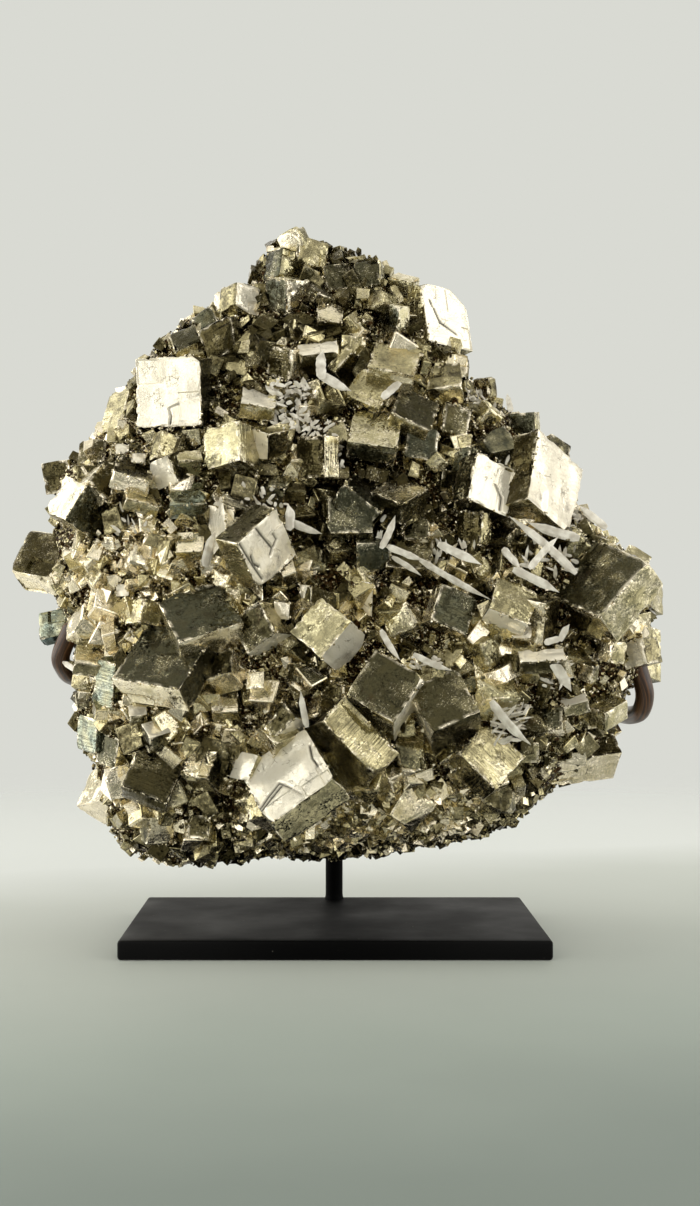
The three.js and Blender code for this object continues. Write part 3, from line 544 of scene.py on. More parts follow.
# The stage: the room as mirrors show it, the light's tints, and the table, with its tones from just in
# front of the stand to behind it; the darker tones near the stand are painted shade.
ROOM_DARK = 0.1
ROOM_BRIGHT = 1.25
ROOM_GLOW = 0.3
ROOM_GLOW_ON_LEFT = 0.45
ROOM_CEILING = 1.0
DAYLIGHT_TINT = "#FDFFFC"
MIRRORED_TINT = "#FFFCF2"
LIT_MIDDLE = (0.0, -0.03, 0.14)
TABLE_REACH = 6.0
TABLE_IN_MIRRORS = 0.4
TABLE_FADES_FROM = 0.25
TABLE_FADES_TO = 0.75
TABLE_SHADE_TONES = (
    (0.06, "#737B71"), (0.22, "#818980"), (0.4, "#A0A79C"), (0.64, "#BDC0B5"), (0.82, "#C8CAC0"),
    (0.97, "#DEDFD8"),
)

# The matrix's grid and unevenness, the stand's rods and welds, and the shape of a quartz blade. A rod's
# round tip ends at an angle, in degrees, just short of its point.
MATRIX_CELLS = 90
MATRIX_ROUGHNESS = 2.6 * MM
MATRIX_COARSE = 2.4 * MM
MATRIX_FINE = 1.1 * MM
WELD_BEAD = 0.8 * MM
WELD_BEAD_RING = 2.5
WELD_BEAD_RINGS = 2.0
WELD_FILLET = 0.4 * MM
WELD_FILLET_MM = 0.8
PLATE_CELL = 4 * MM
POST_RINGS = 90
POST_SIDES = 32
POINTS_A_SPAN = 60
ARM_RINGS = 150
ARM_SIDES = 24
TIP_RINGS = 9
TIP_ENDS_AT = 86
BLADE_RINGS = 14
BLADE_SIDES = 6
BLADE_BEND = 0.07
BLADE_TIP_SHARE = 0.34
BLADE_FOOT_SHARE = 0.1
BLADE_FOOT_WIDTH = 0.55
BLADE_RING_POWER = 0.8
BLADE_WOBBLE = 0.22
BLADE_WOBBLE_MM = 1.1
BLADE_SLANT = 0.8
BLADE_SKEW = 0.9
BLADE_FLATNESS = (0.1, 0.14)


def linear_from_hex(code):
    """A linear colour with alpha 1, from an sRGB hex code."""
    levels = np.array([int(code[i:i + 2], 16) for i in (1, 3, 5)]) / 255
    linear = np.where(levels <= 0.04045, levels / 12.92, ((levels + 0.055) / 1.055) ** 2.4)
    return (*linear.tolist(), 1.0)


def chance(item, draw):
    """A repeatable number from 0 to 1: the fraction of a large multiple of sin(127.1 item + 311.7 draw)."""
    value = np.sin(np.asarray(item) * 127.1 + draw * 311.7) * 43758.5453
    return value - np.floor(value)


def chance_over(span, item, draw):
    """A repeatable number from the least value of a span up, over its spread."""
    least, spread = span
    return least + spread * chance(item, draw)


def hashed(*keys):
    """Repeatable numbers from 0 to 1 for whole keys: each key times an odd factor, mixed by shifts."""
    factors = (0x9E3779B1, 0x85EBCA77, 0xC2B2AE3D, 0x27D4EB2F)
    mixed = np.zeros(np.broadcast(*keys).shape, np.uint64)
    for key, factor in zip(keys, factors):
        mixed ^= np.asarray(key).astype(np.int64).astype(np.uint64) * np.uint64(factor)
        mixed ^= mixed >> np.uint64(15)
        mixed *= np.uint64(0x2C1B3C6D)
        mixed ^= mixed >> np.uint64(12)
    return (mixed & np.uint64(0xFFFFFF)).astype(float) / 0xFFFFFF


def value_noise(places, spacing, seed):
    """Smooth noise from 0 to 1: hashed values at the corners of a lattice, blended by 3 t^2 - 2 t^3."""
    cells = np.asarray(places) / spacing
    corner = np.floor(cells).astype(np.int64)
    part = cells - corner
    part = part * part * (3 - 2 * part)
    total = np.zeros(cells.shape[:-1])
    for step in itertools.product((0, 1), repeat=cells.shape[-1]):
        weight = np.prod(np.where(np.array(step) == 1, part, 1 - part), axis=-1)
        keys = np.moveaxis(corner + np.array(step), -1, 0)
        total += weight * hashed(*keys, np.int64(seed))
    return total


def smooth_step(value):
    """3 t^2 - 2 t^3, with t held between 0 and 1."""
    t = np.clip(value, 0, 1)
    return t * t * (3 - 2 * t)


def unit(vectors):
    """Each vector scaled to length one."""
    return vectors / np.maximum(np.linalg.norm(vectors, axis=-1, keepdims=True), 1e-12)


def sight_through(pixels):
    """The lines of sight through pixels, each one unit long in Y."""
    slope = (np.asarray(pixels, float) - EYE_PIXEL) / PIXELS_PER_UNIT_SLOPE
    return np.stack([slope[..., 0], np.ones(slope.shape[:-1]), -slope[..., 1]], axis=-1)


def pixels_of(places):
    """The pixels that places are seen at: the eye's pixel plus the slope of each line of sight."""
    sight = places - EYE
    slope = np.stack([sight[..., 0], -sight[..., 2]], axis=-1) / sight[..., 1:2]
    return EYE_PIXEL + PIXELS_PER_UNIT_SLOPE * slope


def point_at_depth(pixels, y):
    """The points at depth y on the lines of sight through pixels."""
    return EYE + sight_through(pixels) * (np.asarray(y) - EYE[1])[..., None]


MATRIX_MIDDLE = point_at_depth(MATRIX_MIDDLE_PIXEL, 0.0)
OUTLINE = point_at_depth(MATRIX_OUTLINE_PIXELS, np.zeros(len(MATRIX_OUTLINE_PIXELS))) - MATRIX_MIDDLE
OUTLINE_ANGLE = np.arctan2(OUTLINE[:, 2], OUTLINE[:, 0])
OUTLINE_REACH = np.hypot(OUTLINE[:, 0], OUTLINE[:, 2])


def outline_radius(angle):
    """The outline's distance from its middle in a direction of XZ, straight between its points."""
    return np.interp(angle, OUTLINE_ANGLE, OUTLINE_REACH, period=2 * np.pi)


def lump(x, z):
    """Low bumps: sin times cos about 25 mm apart, and finer ones over them."""
    x, z = x / MM, z / MM
    broad = np.sin(x / 8.7 + 1.3) * np.cos(z / 7.9)
    fine = np.sin(x / 3.9 + z / 5.1) * np.cos(z / 3.3 - x / 6.1)
    return broad + 0.7 * fine


def matrix_rho(x, z):
    """How far out a place of the XZ plane is, from 0 in the matrix's middle to 1 on its outline."""
    dx, dz = x - MATRIX_MIDDLE[0], z - MATRIX_MIDDLE[2]
    return np.hypot(dx, dz) / outline_radius(np.arctan2(dz, dx))


def matrix_y(x, z, rho, front):
    """Depth of the matrix: its rim plus a swell times the dome sqrt(1 - rho^4)."""
    up = np.clip((z - LOW_Z) / (HIGH_Z - LOW_Z), 0, 1)
    rim = RIM_Y_LOW + (RIM_Y_HIGH - RIM_Y_LOW) * up
    dome = np.sqrt(np.maximum(0, 1 - rho**4))
    front_swell = -(FRONT_SWELL_LOW + (FRONT_SWELL_HIGH - FRONT_SWELL_LOW) * up)
    back_swell = BACK_SWELL_LOW + (BACK_SWELL_HIGH - BACK_SWELL_LOW) * up
    front_depth = front_swell + FRONT_LUMP_HEIGHT * lump(x, z)
    back_depth = back_swell + BACK_LUMP_HEIGHT * lump(x, z)
    return rim + np.where(front, front_depth, back_depth) * dome


def surface_at(x, z, front):
    """Points and outward normals of the matrix over places of the XZ plane: (df/dx, -1, df/dz) in front."""
    step = 0.5 * MM
    depth = [
        matrix_y(px, pz, np.minimum(matrix_rho(px, pz), 1), front)
        for px, pz in ((x, z), (x + step, z), (x - step, z), (x, z + step), (x, z - step))
    ]
    slope_x = (depth[1] - depth[2]) / (2 * step)
    slope_z = (depth[3] - depth[4]) / (2 * step)
    outward = unit(np.stack([slope_x, -np.ones_like(x), slope_z], axis=-1))
    side = np.where(front, 1.0, -1.0)
    return np.stack([x, depth[0], z], axis=-1), outward * side[..., None]


def point_on_matrix(pixels):
    """Where the lines of sight through pixels meet the matrix's front, by four passes of substitution."""
    pixels = np.asarray(pixels, float)
    point = point_at_depth(pixels, np.zeros(pixels.shape[:-1]))
    for _ in range(4):
        rho = np.minimum(1, matrix_rho(point[..., 0], point[..., 2]))
        point = point_at_depth(pixels, matrix_y(point[..., 0], point[..., 2], rho, True))
    return point


def turn_from_y(direction):
    """The smallest turn, as a matrix, that takes +Y to a unit direction (Rodrigues' formula)."""
    axis = np.cross([0, 1, 0], direction)
    cross = np.array([[0, -axis[2], axis[1]], [axis[2], 0, -axis[0]], [-axis[1], axis[0], 0]])
    return np.eye(3) + cross + cross @ cross / (1 + direction[1])


def read_crystal(corner, along, across, looks, ratio=1.0, deep=1.0, proud=0.5):
    """
    A crystal's axes, sizes and middle from its best seen face. The face is the square of edge L whose
    picture has the edges v and w: L^4 - (|v|^2 + |w|^2) L^2 + (v x w)^2 = 0.
    """
    corner, along, across = (np.array(pixel, float) for pixel in (corner, along, across))
    middle_pixel = (along + across) / 2
    ground = point_on_matrix(middle_pixel)
    scale = (ground[1] - EYE[1]) / PIXELS_PER_UNIT_SLOPE
    flip = np.array([1, -1])
    v = (along - corner) * flip * scale
    w = (across - corner) * flip * scale / ratio
    total = v @ v + w @ w
    area = v[0] * w[1] - v[1] * w[0]
    edge = np.sqrt((total + np.sqrt(max(0, total**2 - 4 * area**2))) / 2)
    away = np.sqrt(max(0, edge**2 - v @ v))
    away_too = np.sqrt(max(0, edge**2 - w @ w)) * (-1 if v @ w > 0 else 1)
    axis, side = {"left": (0, -1), "right": (0, 1), "up": (2, 1), "down": (2, -1)}[looks]
    for sign in (1, -1):
        first = unit(np.array([v[0], sign * away, v[1]]))
        second = unit(np.array([w[0], sign * away_too, w[1]]))
        out = np.cross(first, second)
        sizes = [edge, edge * ratio]
        if out[1] >= 0:
            first, second, out, sizes = second, first, -out, sizes[::-1]
        if out[axis] * side > 0:
            break
    turn = turn_from_y(unit(sight_through(middle_pixel)))
    axes = np.stack([turn @ first, turn @ second, turn @ out])
    depth = edge * deep
    face = point_at_depth(middle_pixel, ground[1] - proud * edge)
    middle = face - axes[2] * depth / 2
    return dict(axes=axes, sizes=np.array([*sizes, depth]), edge=edge, face=face, middle=middle)


def axes_of_turns(angles):
    """Axes, as rows, of turns by Euler angles X, then Y, then Z in the block's own frame (N, 3)."""
    cx, cy, cz = np.cos(angles).T
    sx, sy, sz = np.sin(angles).T
    columns = np.array([
        [cy * cz, -cy * sz, sy],
        [cx * sz + cz * sx * sy, cx * cz - sx * sy * sz, -cy * sx],
        [sx * sz - cx * cz * sy, cz * sx + cx * sy * sz, cx * cy],
    ])
    return np.transpose(columns, (2, 1, 0))


def arm_path(points, rings):
    """
    Evenly spaced points on the centripetal Catmull-Rom curve through points: on each span a Hermite
    cubic whose end slopes are (b - a) / t1 - (c - a) / (t1 + t2) + (c - b) / t2, t being the square
    root of a span's length.
    """
    knots = np.array(points, float) * MM
    knots = np.vstack([2 * knots[0] - knots[1], knots, 2 * knots[-1] - knots[-2]])
    fine = []
    t = np.linspace(0, 1, POINTS_A_SPAN)[:, None]
    for a, b, c, d in zip(knots[:-3], knots[1:-2], knots[2:-1], knots[3:]):
        before, span, after = (np.sqrt(np.linalg.norm(q - p)) for p, q in ((a, b), (b, c), (c, d)))
        start = ((b - a) / before - (c - a) / (before + span) + (c - b) / span) * span
        end = ((c - b) / span - (d - b) / (span + after) + (d - c) / after) * span
        cubic = (2 * t**3 - 3 * t**2 + 1) * b + (t**3 - 2 * t**2 + t) * start
        fine.append(cubic + (-2 * t**3 + 3 * t**2) * c + (t**3 - t**2) * end)
    fine = np.vstack(fine)
    walked = np.concatenate([[0], np.cumsum(np.linalg.norm(np.diff(fine, axis=0), axis=1))])
    stops = np.linspace(0, walked[-1], rings)
    return np.stack([np.interp(stops, walked, fine[:, k]) for k in range(3)], axis=-1)


LEFT_ARM = arm_path(LEFT_ARM_POINTS, ARM_RINGS)
RIGHT_ARM = arm_path(RIGHT_ARM_POINTS, ARM_RINGS)
ARM_POINTS = np.array(LEFT_ARM_POINTS + RIGHT_ARM_POINTS) * MM


def arm_distance(places):
    """How far each place is from the arms' centre lines, by every third of their points."""
    line = np.vstack([LEFT_ARM, RIGHT_ARM])[::3]
    return np.min(np.linalg.norm(places[:, None, :] - line[None], axis=-1), axis=1)


def filler_cubes(count, smallest, largest, front, crystals):
    """
    Small cubes in a sunflower pattern over one side of the matrix: cube i lies at the share
    sqrt((i + 1/2) / count) of the way out, i golden angles round, and is turned by chance.
    """
    golden_angle = np.pi * (3 - np.sqrt(5))
    cubes = []
    for i in range(count):
        rho = FILLER_REACH * np.sqrt((i + 0.5) / count)
        angle = (i * golden_angle + np.pi) % (2 * np.pi) - np.pi
        reach = rho * outline_radius(angle)
        x = MATRIX_MIDDLE[0] + np.cos(angle) * reach
        z = MATRIX_MIDDLE[2] + np.sin(angle) * reach
        size = (smallest + (largest - smallest) * chance(i, 1)) * MM
        place = np.array([x, matrix_y(x, z, rho, front), z])
        beside = [
            np.hypot(c["face"][0] - x, c["face"][2] - z) < FILLER_SPACING * c["edge"] + size / 2
            for c in crystals
        ]
        at_arm = np.linalg.norm(ARM_POINTS - place, axis=1).min() < ROOM_AT_ARMS
        if z < FILLER_LOWEST_Z or at_arm or (front and any(beside)):
            continue
        axes = axes_of_turns(np.array([[chance(i, 2), chance(i, 3), chance(i, 4)]]) * np.pi)[0]
        sizes = np.array([size, size, size * chance_over(FILLER_DEPTH, i, 5)])
        face = place + axes[2] * sizes[2] / 2
        cubes.append(dict(axes=axes, sizes=sizes, edge=size, face=face, middle=place))
    return cubes


def add_node(tree, kind, inputs=(), give=0, stops=(), **settings):
    """
    Adds a shader node with its settings and, on a ramp, its colour stops. Sets or links its inputs, which
    are given by name or number, or as a list in the node's own order, as in value, from min, from max, to
    min, to max. Returns the output that has a name or number. A mix of colours has 6, 7 in and 2 out.
    """
    node = tree.nodes.new("ShaderNode" + kind)
    for name, value in settings.items():
        setattr(node, name, value)
    for number, (position, colour) in enumerate(stops):
        elements = node.color_ramp.elements
        stop = elements[number] if number < len(elements) else elements.new(position)
        stop.position, stop.color = position, colour
    for name, value in inputs.items() if isinstance(inputs, dict) else enumerate(inputs):
        if isinstance(value, bpy.types.NodeSocket):
            tree.links.new(value, node.inputs[name])
        else:
            node.inputs[name].default_value = value
    return node.outputs[give] if node.outputs else None


def new_material(name):
    """A new material's two tools: one adds a node to it, and one ends it with a shader and returns it."""
    material = bpy.data.materials.new(name)
    material.use_nodes = True
    material.node_tree.nodes.clear()
    add = functools.partial(add_node, material.node_tree)

    def finish(shader):
        add("OutputMaterial", {"Surface": shader})
        return material

    return add, finish


def closed_lattice(counts):
    """
    The six sides of a box as one closed grid. Returns each point's whole-number place, each square's
    corners (anticlockwise from outside), its side (0 to 5: -X +X -Y +Y -Z +Z) and its corners' places.
    """
    squares, sides = [], []
    around = [(0, 0), (1, 0), (1, 1), (0, 1)]
    for axis in range(3):
        first, second = (axis + 1) % 3, (axis + 2) % 3
        i, j = np.meshgrid(np.arange(counts[first] - 1), np.arange(counts[second] - 1), indexing="ij")
        for end in (0, 1):
            place = np.zeros((i.size, 4, 3), np.int64)
            for corner, (di, dj) in enumerate(around if end else around[::-1]):
                place[:, corner, first] = i.ravel() + di
                place[:, corner, second] = j.ravel() + dj
                place[:, corner, axis] = end * (counts[axis] - 1)
            squares.append(place)
            sides.append(np.full(i.size, 2 * axis + end))
    places = np.concatenate(squares)
    keys = places @ np.array([1, counts[0], counts[0] * counts[1]])
    _, kept, corners = np.unique(keys.ravel(), return_index=True, return_inverse=True)
    return places.reshape(-1, 3)[kept], corners.reshape(-1, 4), np.concatenate(sides), places


def face_map(places, side, positions, seed):
    """The map of each square's corners: millimetres along its side's two edges, set off by chance."""
    uv = np.zeros((*places.shape[:2], 2))
    for axis in range(3):
        on = side // 2 == axis
        for k, edge in enumerate(((axis + 1) % 3, (axis + 2) % 3)):
            uv[on, :, k] = positions[edge][places[on][..., edge]] / MM
    return uv + MAP_SHIFT * hashed(side[:, None, None], np.arange(2), np.int64(seed))


def side_lines(size, cell, bevel):
    """Line places along one side: even cells between the rounded edges, with two more in each edge."""
    inner = size / 2 - bevel
    middle = np.linspace(-inner, inner, max(2, round(2 * inner / cell)) + 1)
    edge = np.array([size / 2 - EDGE_LINE * bevel, size / 2])
    return np.concatenate([-edge[::-1], middle, edge])


def growth_height(u, v, half_u, half_v, seed):
    """
    Height of a grown face: a swell of smooth noise, less growth steps at the corners. A step lowers the
    quarter where u is past u0 and v is past v0, seen from one corner.
    """
    height = SWELL_HEIGHT * (value_noise(np.stack([u, v], axis=-1), SWELL_SPACING, seed) - 0.5)
    for step in range(STEPS_A_FACE):
        side_u, side_v = np.where(chance(seed, 10 + step + np.array([0, 10])) < 0.5, -1, 1)
        from_u = (1 - STEP_SPREAD * chance(seed, 30 + step)) * half_u
        from_v = (1 - STEP_SPREAD * chance(seed, 40 + step)) * half_v
        lowered = (side_u * u > from_u) & (side_v * v > from_v)
        height = height - STEP_HEIGHT * (LOWEST_STEP + chance(seed, 50 + step)) * lowered
    return height


def seen_on_face(crystal, sights):
    """Where lines of sight meet the plane of a crystal's seen face, and how many sights away that is."""
    out = crystal["axes"][2]
    far = ((crystal["face"] - EYE) @ out) / (sights @ out)
    return EYE + sights * far[:, None], far


def cuts_by_pixels(crystal, lines):
    """Planes (normal, distance) in a crystal's own frame that cut its seen face along lines of pixels."""
    cuts = []
    for line in lines:
        places, _ = seen_on_face(crystal, sight_through(line))
        start, end = (places - crystal["middle"]) @ crystal["axes"].T
        normal = unit(np.cross(end - start, [0, 0, 1]))
        normal = unit(normal * np.sign(normal @ start) + np.array([0, 0, CUT_LEAN]))
        cuts.append((normal, normal @ start))
    return cuts


def cuts_by_chance(half, seed, nearest):
    """Planes that cut corners off a box: a random normal towards a corner, at a share of its distance."""
    cuts = []
    for k in range(0, 10 * CUTS_A_CRYSTAL, 10):
        signs = np.where(chance(seed, k + np.arange(3)) < 0.5, -1, 1)
        normal = unit(signs * (CUT_EVENNESS + chance(seed, k + np.arange(3, 6))))
        share = nearest + (FARTHEST_CUT - nearest) * chance(seed, k + 6)
        cuts.append((normal, share * (np.abs(normal) @ half)))
    return cuts


def crystal_surface(crystal, seed, cell, bevel, roughness=1.0, cuts=()):
    """
    A cube crystal: a box grid whose edges are rounded by moving each point to the bevel's distance from
    the box's core, with growth relief on each side and chips along the edges. A point beyond a cut's
    plane is moved back onto it.
    """
    half = crystal["sizes"] / 2
    bevel = min(bevel, half.min() * WIDEST_BEVEL)
    cells = np.broadcast_to(cell, 3)
    lines = [side_lines(size, width, bevel) for size, width in zip(crystal["sizes"], cells)]
    places, corners, side, square_places = closed_lattice([len(line) for line in lines])
    flat = np.stack([lines[k][places[:, k]] for k in range(3)], axis=-1)
    core = np.clip(flat, bevel - half, half - bevel)
    points = core + bevel * unit(flat - core)
    for axis in range(3):
        first, second = (axis + 1) % 3, (axis + 2) % 3
        for end in (0, 1):
            on = places[:, axis] == end * (len(lines[axis]) - 1)
            u, v = flat[on, first], flat[on, second]
            inset = np.minimum(half[first] - np.abs(u), half[second] - np.abs(v))
            height = growth_height(u, v, half[first], half[second], 6 * seed + 2 * axis + end)
            points[on, axis] += (2 * end - 1) * smooth_step(inset / EDGE_FADE) * height * roughness
    from_edge = np.sort(half - np.abs(flat), axis=1)[:, 1]
    chips = value_noise(flat + 7 * seed * MM, CHIP_SPACING, seed)
    depth = CHIP_DEPTH * roughness * np.clip((chips - CHIPS_FROM) / CHIPS_SPAN, 0, 1)
    depth *= 1 - smooth_step(from_edge / CHIP_REACH)
    points -= depth[:, None] * unit(flat / half)
    warp = np.stack([value_noise(flat, WARP_SPACING, 9 * seed + k) - 0.5 for k in range(3)], axis=-1)
    points += WARP_HEIGHT * roughness * warp
    for normal, distance in cuts:
        points -= np.maximum(points @ normal - distance, 0)[:, None] * normal
    uv = face_map(square_places, side, lines, seed)
    # Near an edge, where the chip noise is high, the colour goes fresh: real wear and painted glints.
    worn = np.exp(-((from_edge / WORN_GLINT_REACH) ** 2)) * smooth_step(WORN_GLINT_GAIN * chips - WORN_GLINT_FROM)
    return dict(local=points, corners=corners, side=side, uv=uv, worn=worn)


def side_towards(crystal, way):
    """The side of a crystal that is turned to a way of the picture. "rest" is all but the seen side."""
    if way == "rest":
        return np.arange(6) != SEEN_SIDE
    toward = {"left": (-1, 0, 0), "right": (1, 0, 0), "up": (0, 0, 1), "down": (0, 0, -1)}[way]
    along = crystal["axes"][:2] @ np.array(toward)
    axis = int(np.argmax(np.abs(along)))
    return 2 * axis + int(along[axis] > 0)


def shade_of(places):
    """Painted shade and light at places: the sum of each area's tone change times exp(-(pixels from it /
    reach)^2).
    """
    pixels = pixels_of(places)
    shade = np.zeros(len(places))
    for middle, reach, change in SHADES.values():
        distance = np.linalg.norm(pixels - np.array(middle), axis=-1)
        shade += change * np.exp(-((distance / reach) ** 2))
    return shade


def to_world(crystal, local):
    """Points of a crystal's own frame in the part's frame: the middle plus each share times its axis."""
    return crystal["middle"] + local @ crystal["axes"]


def crack_share(crystal, name, world):
    """How near each point is to a crack: exp(-(d / half width)^2), d being the way to its nearest line."""
    share = np.zeros(len(world))
    for line in CRACKS.get(name, []):
        knots, _ = seen_on_face(crystal, sight_through(line))
        for a, b in zip(knots[:-1], knots[1:]):
            along = np.clip((world - a) @ (b - a) / ((b - a) @ (b - a)), 0, 1)
            distance = np.linalg.norm(world - a - along[:, None] * (b - a), axis=1)
            share = np.maximum(share, np.exp(-((distance / CRACK_HALF_WIDTH) ** 2)))
    return share


def put_mesh(name, points, faces, material, smooth=True, uv=None, face_values=None, point_values=None):
    """
    A new object from arrays: points (N, 3), faces as a list of corner arrays, their corners' map, and
    named values for its faces and points.
    """
    mesh = bpy.data.meshes.new(name)
    loops = np.concatenate([part.ravel() for part in faces]).astype(np.int32)
    lengths = np.concatenate([np.full(len(part), part.shape[1]) for part in faces])
    starts = np.concatenate([[0], np.cumsum(lengths)[:-1]]).astype(np.int32)
    mesh.vertices.add(len(points))
    mesh.vertices.foreach_set("co", np.asarray(points, np.float32).ravel())
    mesh.loops.add(len(loops))
    mesh.loops.foreach_set("vertex_index", loops)
    mesh.polygons.add(len(starts))
    mesh.polygons.foreach_set("loop_start", starts)
    mesh.polygons.foreach_set("use_smooth", np.full(len(starts), smooth))
    mesh.update(calc_edges=True)
    if smooth:
        mesh.set_sharp_from_angle(angle=SHARPEST_SMOOTH_ANGLE)
    if uv is not None:
        layer = mesh.uv_layers.new(name="face_mm")
        layer.data.foreach_set("uv", uv.astype(np.float32).ravel())
    for domain, values in (("FACE", face_values), ("POINT", point_values)):
        for label, value in (values or {}).items():
            attribute = mesh.attributes.new(label, "FLOAT", domain)
            attribute.data.foreach_set("value", np.asarray(value, np.float32).ravel())
    mesh.materials.append(material)
    piece = bpy.data.objects.new(name, mesh)
    bpy.context.scene.collection.objects.link(piece)
    return piece


def join_surfaces(surfaces):
    """Several surfaces as one: corners are renumbered, and the other arrays are put end to end."""
    shift = np.concatenate([[0], np.cumsum([len(s["points"]) for s in surfaces])[:-1]])
    joined = dict(corners=np.concatenate([s["corners"] + k for s, k in zip(surfaces, shift)]))
    for key in surfaces[0]:
        if key != "corners":
            joined[key] = np.concatenate([s[key] for s in surfaces])
    return joined


def specimen_piece(name, surface, material, smooth):
    """A piece of the specimen from a joined surface, on the root body in place of the CAD cluster."""
    face_values = {label: surface[label] for label in ("tone", "striation", "tarnish") if label in surface}
    point_values = {label: surface[label] for label in ("crack", "worn") if label in surface}
    piece = put_mesh(
        name, surface["points"], [surface["corners"]], material, smooth, surface["uv"],
        face_values, point_values,
    )
    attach(piece, "root")
    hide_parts("pyrite_cluster")


def broken_copies(template, count, seed):
    """Copies of a template's points, each cut by planes: a point beyond one is moved back onto it."""
    draw = np.random.default_rng(seed)
    copies = np.repeat(template[None], count, axis=0)
    for _ in range(CUTS_A_GRAIN):
        normal = unit(draw.normal(size=(count, 3)))
        distance = draw.uniform(NEAREST_CUT, FARTHEST_CUT, count) * np.abs(normal).sum(axis=1) / 2
        beyond = np.maximum(np.einsum("npk,nk->np", copies, normal) - distance[:, None], 0)
        copies -= beyond[..., None] * normal[:, None, :]
    return copies


def cube_copies(centres, axes, sizes, tones, striation, bevel_share, seed):
    """Broken cubes from one small template: its points times each cube's sizes and axes, at its centre."""
    unit_line = np.array([-0.5, 0.5])
    if bevel_share:
        unit_line = np.array([-0.5, bevel_share - 0.5, 0.5 - bevel_share, 0.5])
    places, corners, side, square_places = closed_lattice([len(unit_line)] * 3)
    flat = unit_line[places]
    if bevel_share:
        core = np.clip(flat, bevel_share - 0.5, 0.5 - bevel_share)
        flat = core + bevel_share * unit(flat - core)
    count = len(centres)
    local = broken_copies(flat, count, seed + 9) * sizes[:, None, :]
    points = np.einsum("npk,nkj->npj", local, axes) + centres[:, None, :]
    numbers = corners[None] + len(flat) * np.arange(count)[:, None, None]
    edges = np.stack([(side // 2 + 1) % 3, (side // 2 + 2) % 3], axis=-1)
    across = unit_line[np.take_along_axis(square_places, edges[:, None, :], axis=2)]
    span = sizes[:, edges] / MM
    item = np.arange(count)[:, None]
    offset = MAP_SHIFT * hashed(item[..., None, None], side[:, None, None], np.arange(2), np.int64(seed))
    uv = across[None] * span[:, :, None, :] + offset
    jitter = hashed(item, side[None, :], np.int64(seed + 5)) - 0.5
    tone = np.clip(tones[:, None] + SIDE_TONE_SPREAD * jitter, 0, BRIGHTEST_SMALL)
    return dict(
        points=points.reshape(-1, 3), corners=numbers.reshape(-1, 4), uv=uv.reshape(-1, 4, 2),
        tone=tone.ravel(), striation=np.repeat(striation, len(side)),
    )


def swept_surface(line, reference, reach, section):
    """
    A closed tube: at each point of a line, the section's (a, b) times the reach is laid out along the two
    directions square to the line, the first being reference x tangent. Both ends close in one point.
    """
    tangent = unit(np.gradient(line, axis=0))
    first = unit(np.cross(reference, tangent))
    second = np.cross(tangent, first)
    a = reach[:, None, None] * section[None, :, :1]
    b = reach[:, None, None] * section[None, :, 1:]
    rings = line[:, None, :] + a * first[:, None, :] + b * second[:, None, :]
    sides, count = len(section), len(line)
    ring, step = np.meshgrid(np.arange(count - 1), np.arange(sides), indexing="ij")
    here = ring * sides + step
    beside = ring * sides + (step + 1) % sides
    quads = np.stack([here, beside, beside + sides, here + sides], axis=-1).reshape(-1, 4)
    start, end = count * sides, count * sides + 1
    low = np.arange(sides)
    high = low + (count - 1) * sides
    caps = np.concatenate([
        np.stack([np.full(sides, start), np.roll(low, -1), low], axis=-1),
        np.stack([np.full(sides, end), high, np.roll(high, -1)], axis=-1),
    ])
    points = np.concatenate([rings.reshape(-1, 3), line[:1], line[-1:]])
    walked = np.concatenate([[0], np.cumsum(np.linalg.norm(np.diff(line, axis=0), axis=1))]) / MM
    arc = 2 * np.pi * reach.max() / sides / MM
    across = np.stack([step, step + 1, step + 1, step], axis=-1).reshape(-1, 4) * arc
    along = np.stack([walked[ring + k] for k in (0, 0, 1, 1)], axis=-1).reshape(-1, 4)
    ends = np.zeros((2 * sides, 3, 2))
    ends[sides:, :, 1] = walked[-1]
    uv = np.concatenate([np.stack([across, along], axis=-1).reshape(-1, 2), ends.reshape(-1, 2)])
    return dict(points=points, quads=quads, caps=caps, uv=uv)


def round_section(sides):
    """Points of the unit circle, anticlockwise: (cos t, sin t)."""
    turn = np.linspace(0, 2 * np.pi, sides, endpoint=False)
    return np.stack([np.cos(turn), np.sin(turn)], axis=-1)


def quartz_blade(foot, tip, width, seed):
    """
    A six-sided blade on a slightly bent line: P(t) = foot + t (tip - foot) + bend sin(pi t). Its half
    width grows from about a half to full near the foot, and falls to a point aside of the line.
    """
    t = np.linspace(0, 1, BLADE_RINGS) ** BLADE_RING_POWER
    length = np.linalg.norm(tip - foot)
    along = (tip - foot) / max(length, 1e-9)
    towards_eye = unit(EYE - foot)
    aside = unit(np.cross(along, towards_eye))
    bend = BLADE_BEND * length * ((chance(seed, 3) - 0.5) * aside + (chance(seed, 4) - 0.5) * towards_eye)
    line = foot + t[:, None] * (tip - foot) + np.sin(np.pi * t)[:, None] * bend
    taper = np.clip((1 - t) / BLADE_TIP_SHARE, 0, 1)
    taper *= np.clip(t / BLADE_FOOT_SHARE + BLADE_FOOT_WIDTH, 0, 1)
    wobble = 1 + BLADE_WOBBLE * (value_noise(t[:, None] * length / MM, BLADE_WOBBLE_MM, seed) - 0.5)
    slant = BLADE_SLANT * (width / 2) * (chance(seed, 8) - 0.5)
    line = line + (slant * (1 - taper))[:, None] * aside
    flatness = chance_over(BLADE_FLATNESS, seed, 5)
    section = round_section(BLADE_SIDES) * np.array([1.0, flatness])
    skew = unit(aside + BLADE_SKEW * (chance(seed, 6) - 0.5) * towards_eye)
    reference = np.cross(along, skew)
    return swept_surface(line, reference, np.maximum(width / 2 * taper * wobble, 1e-6), section)


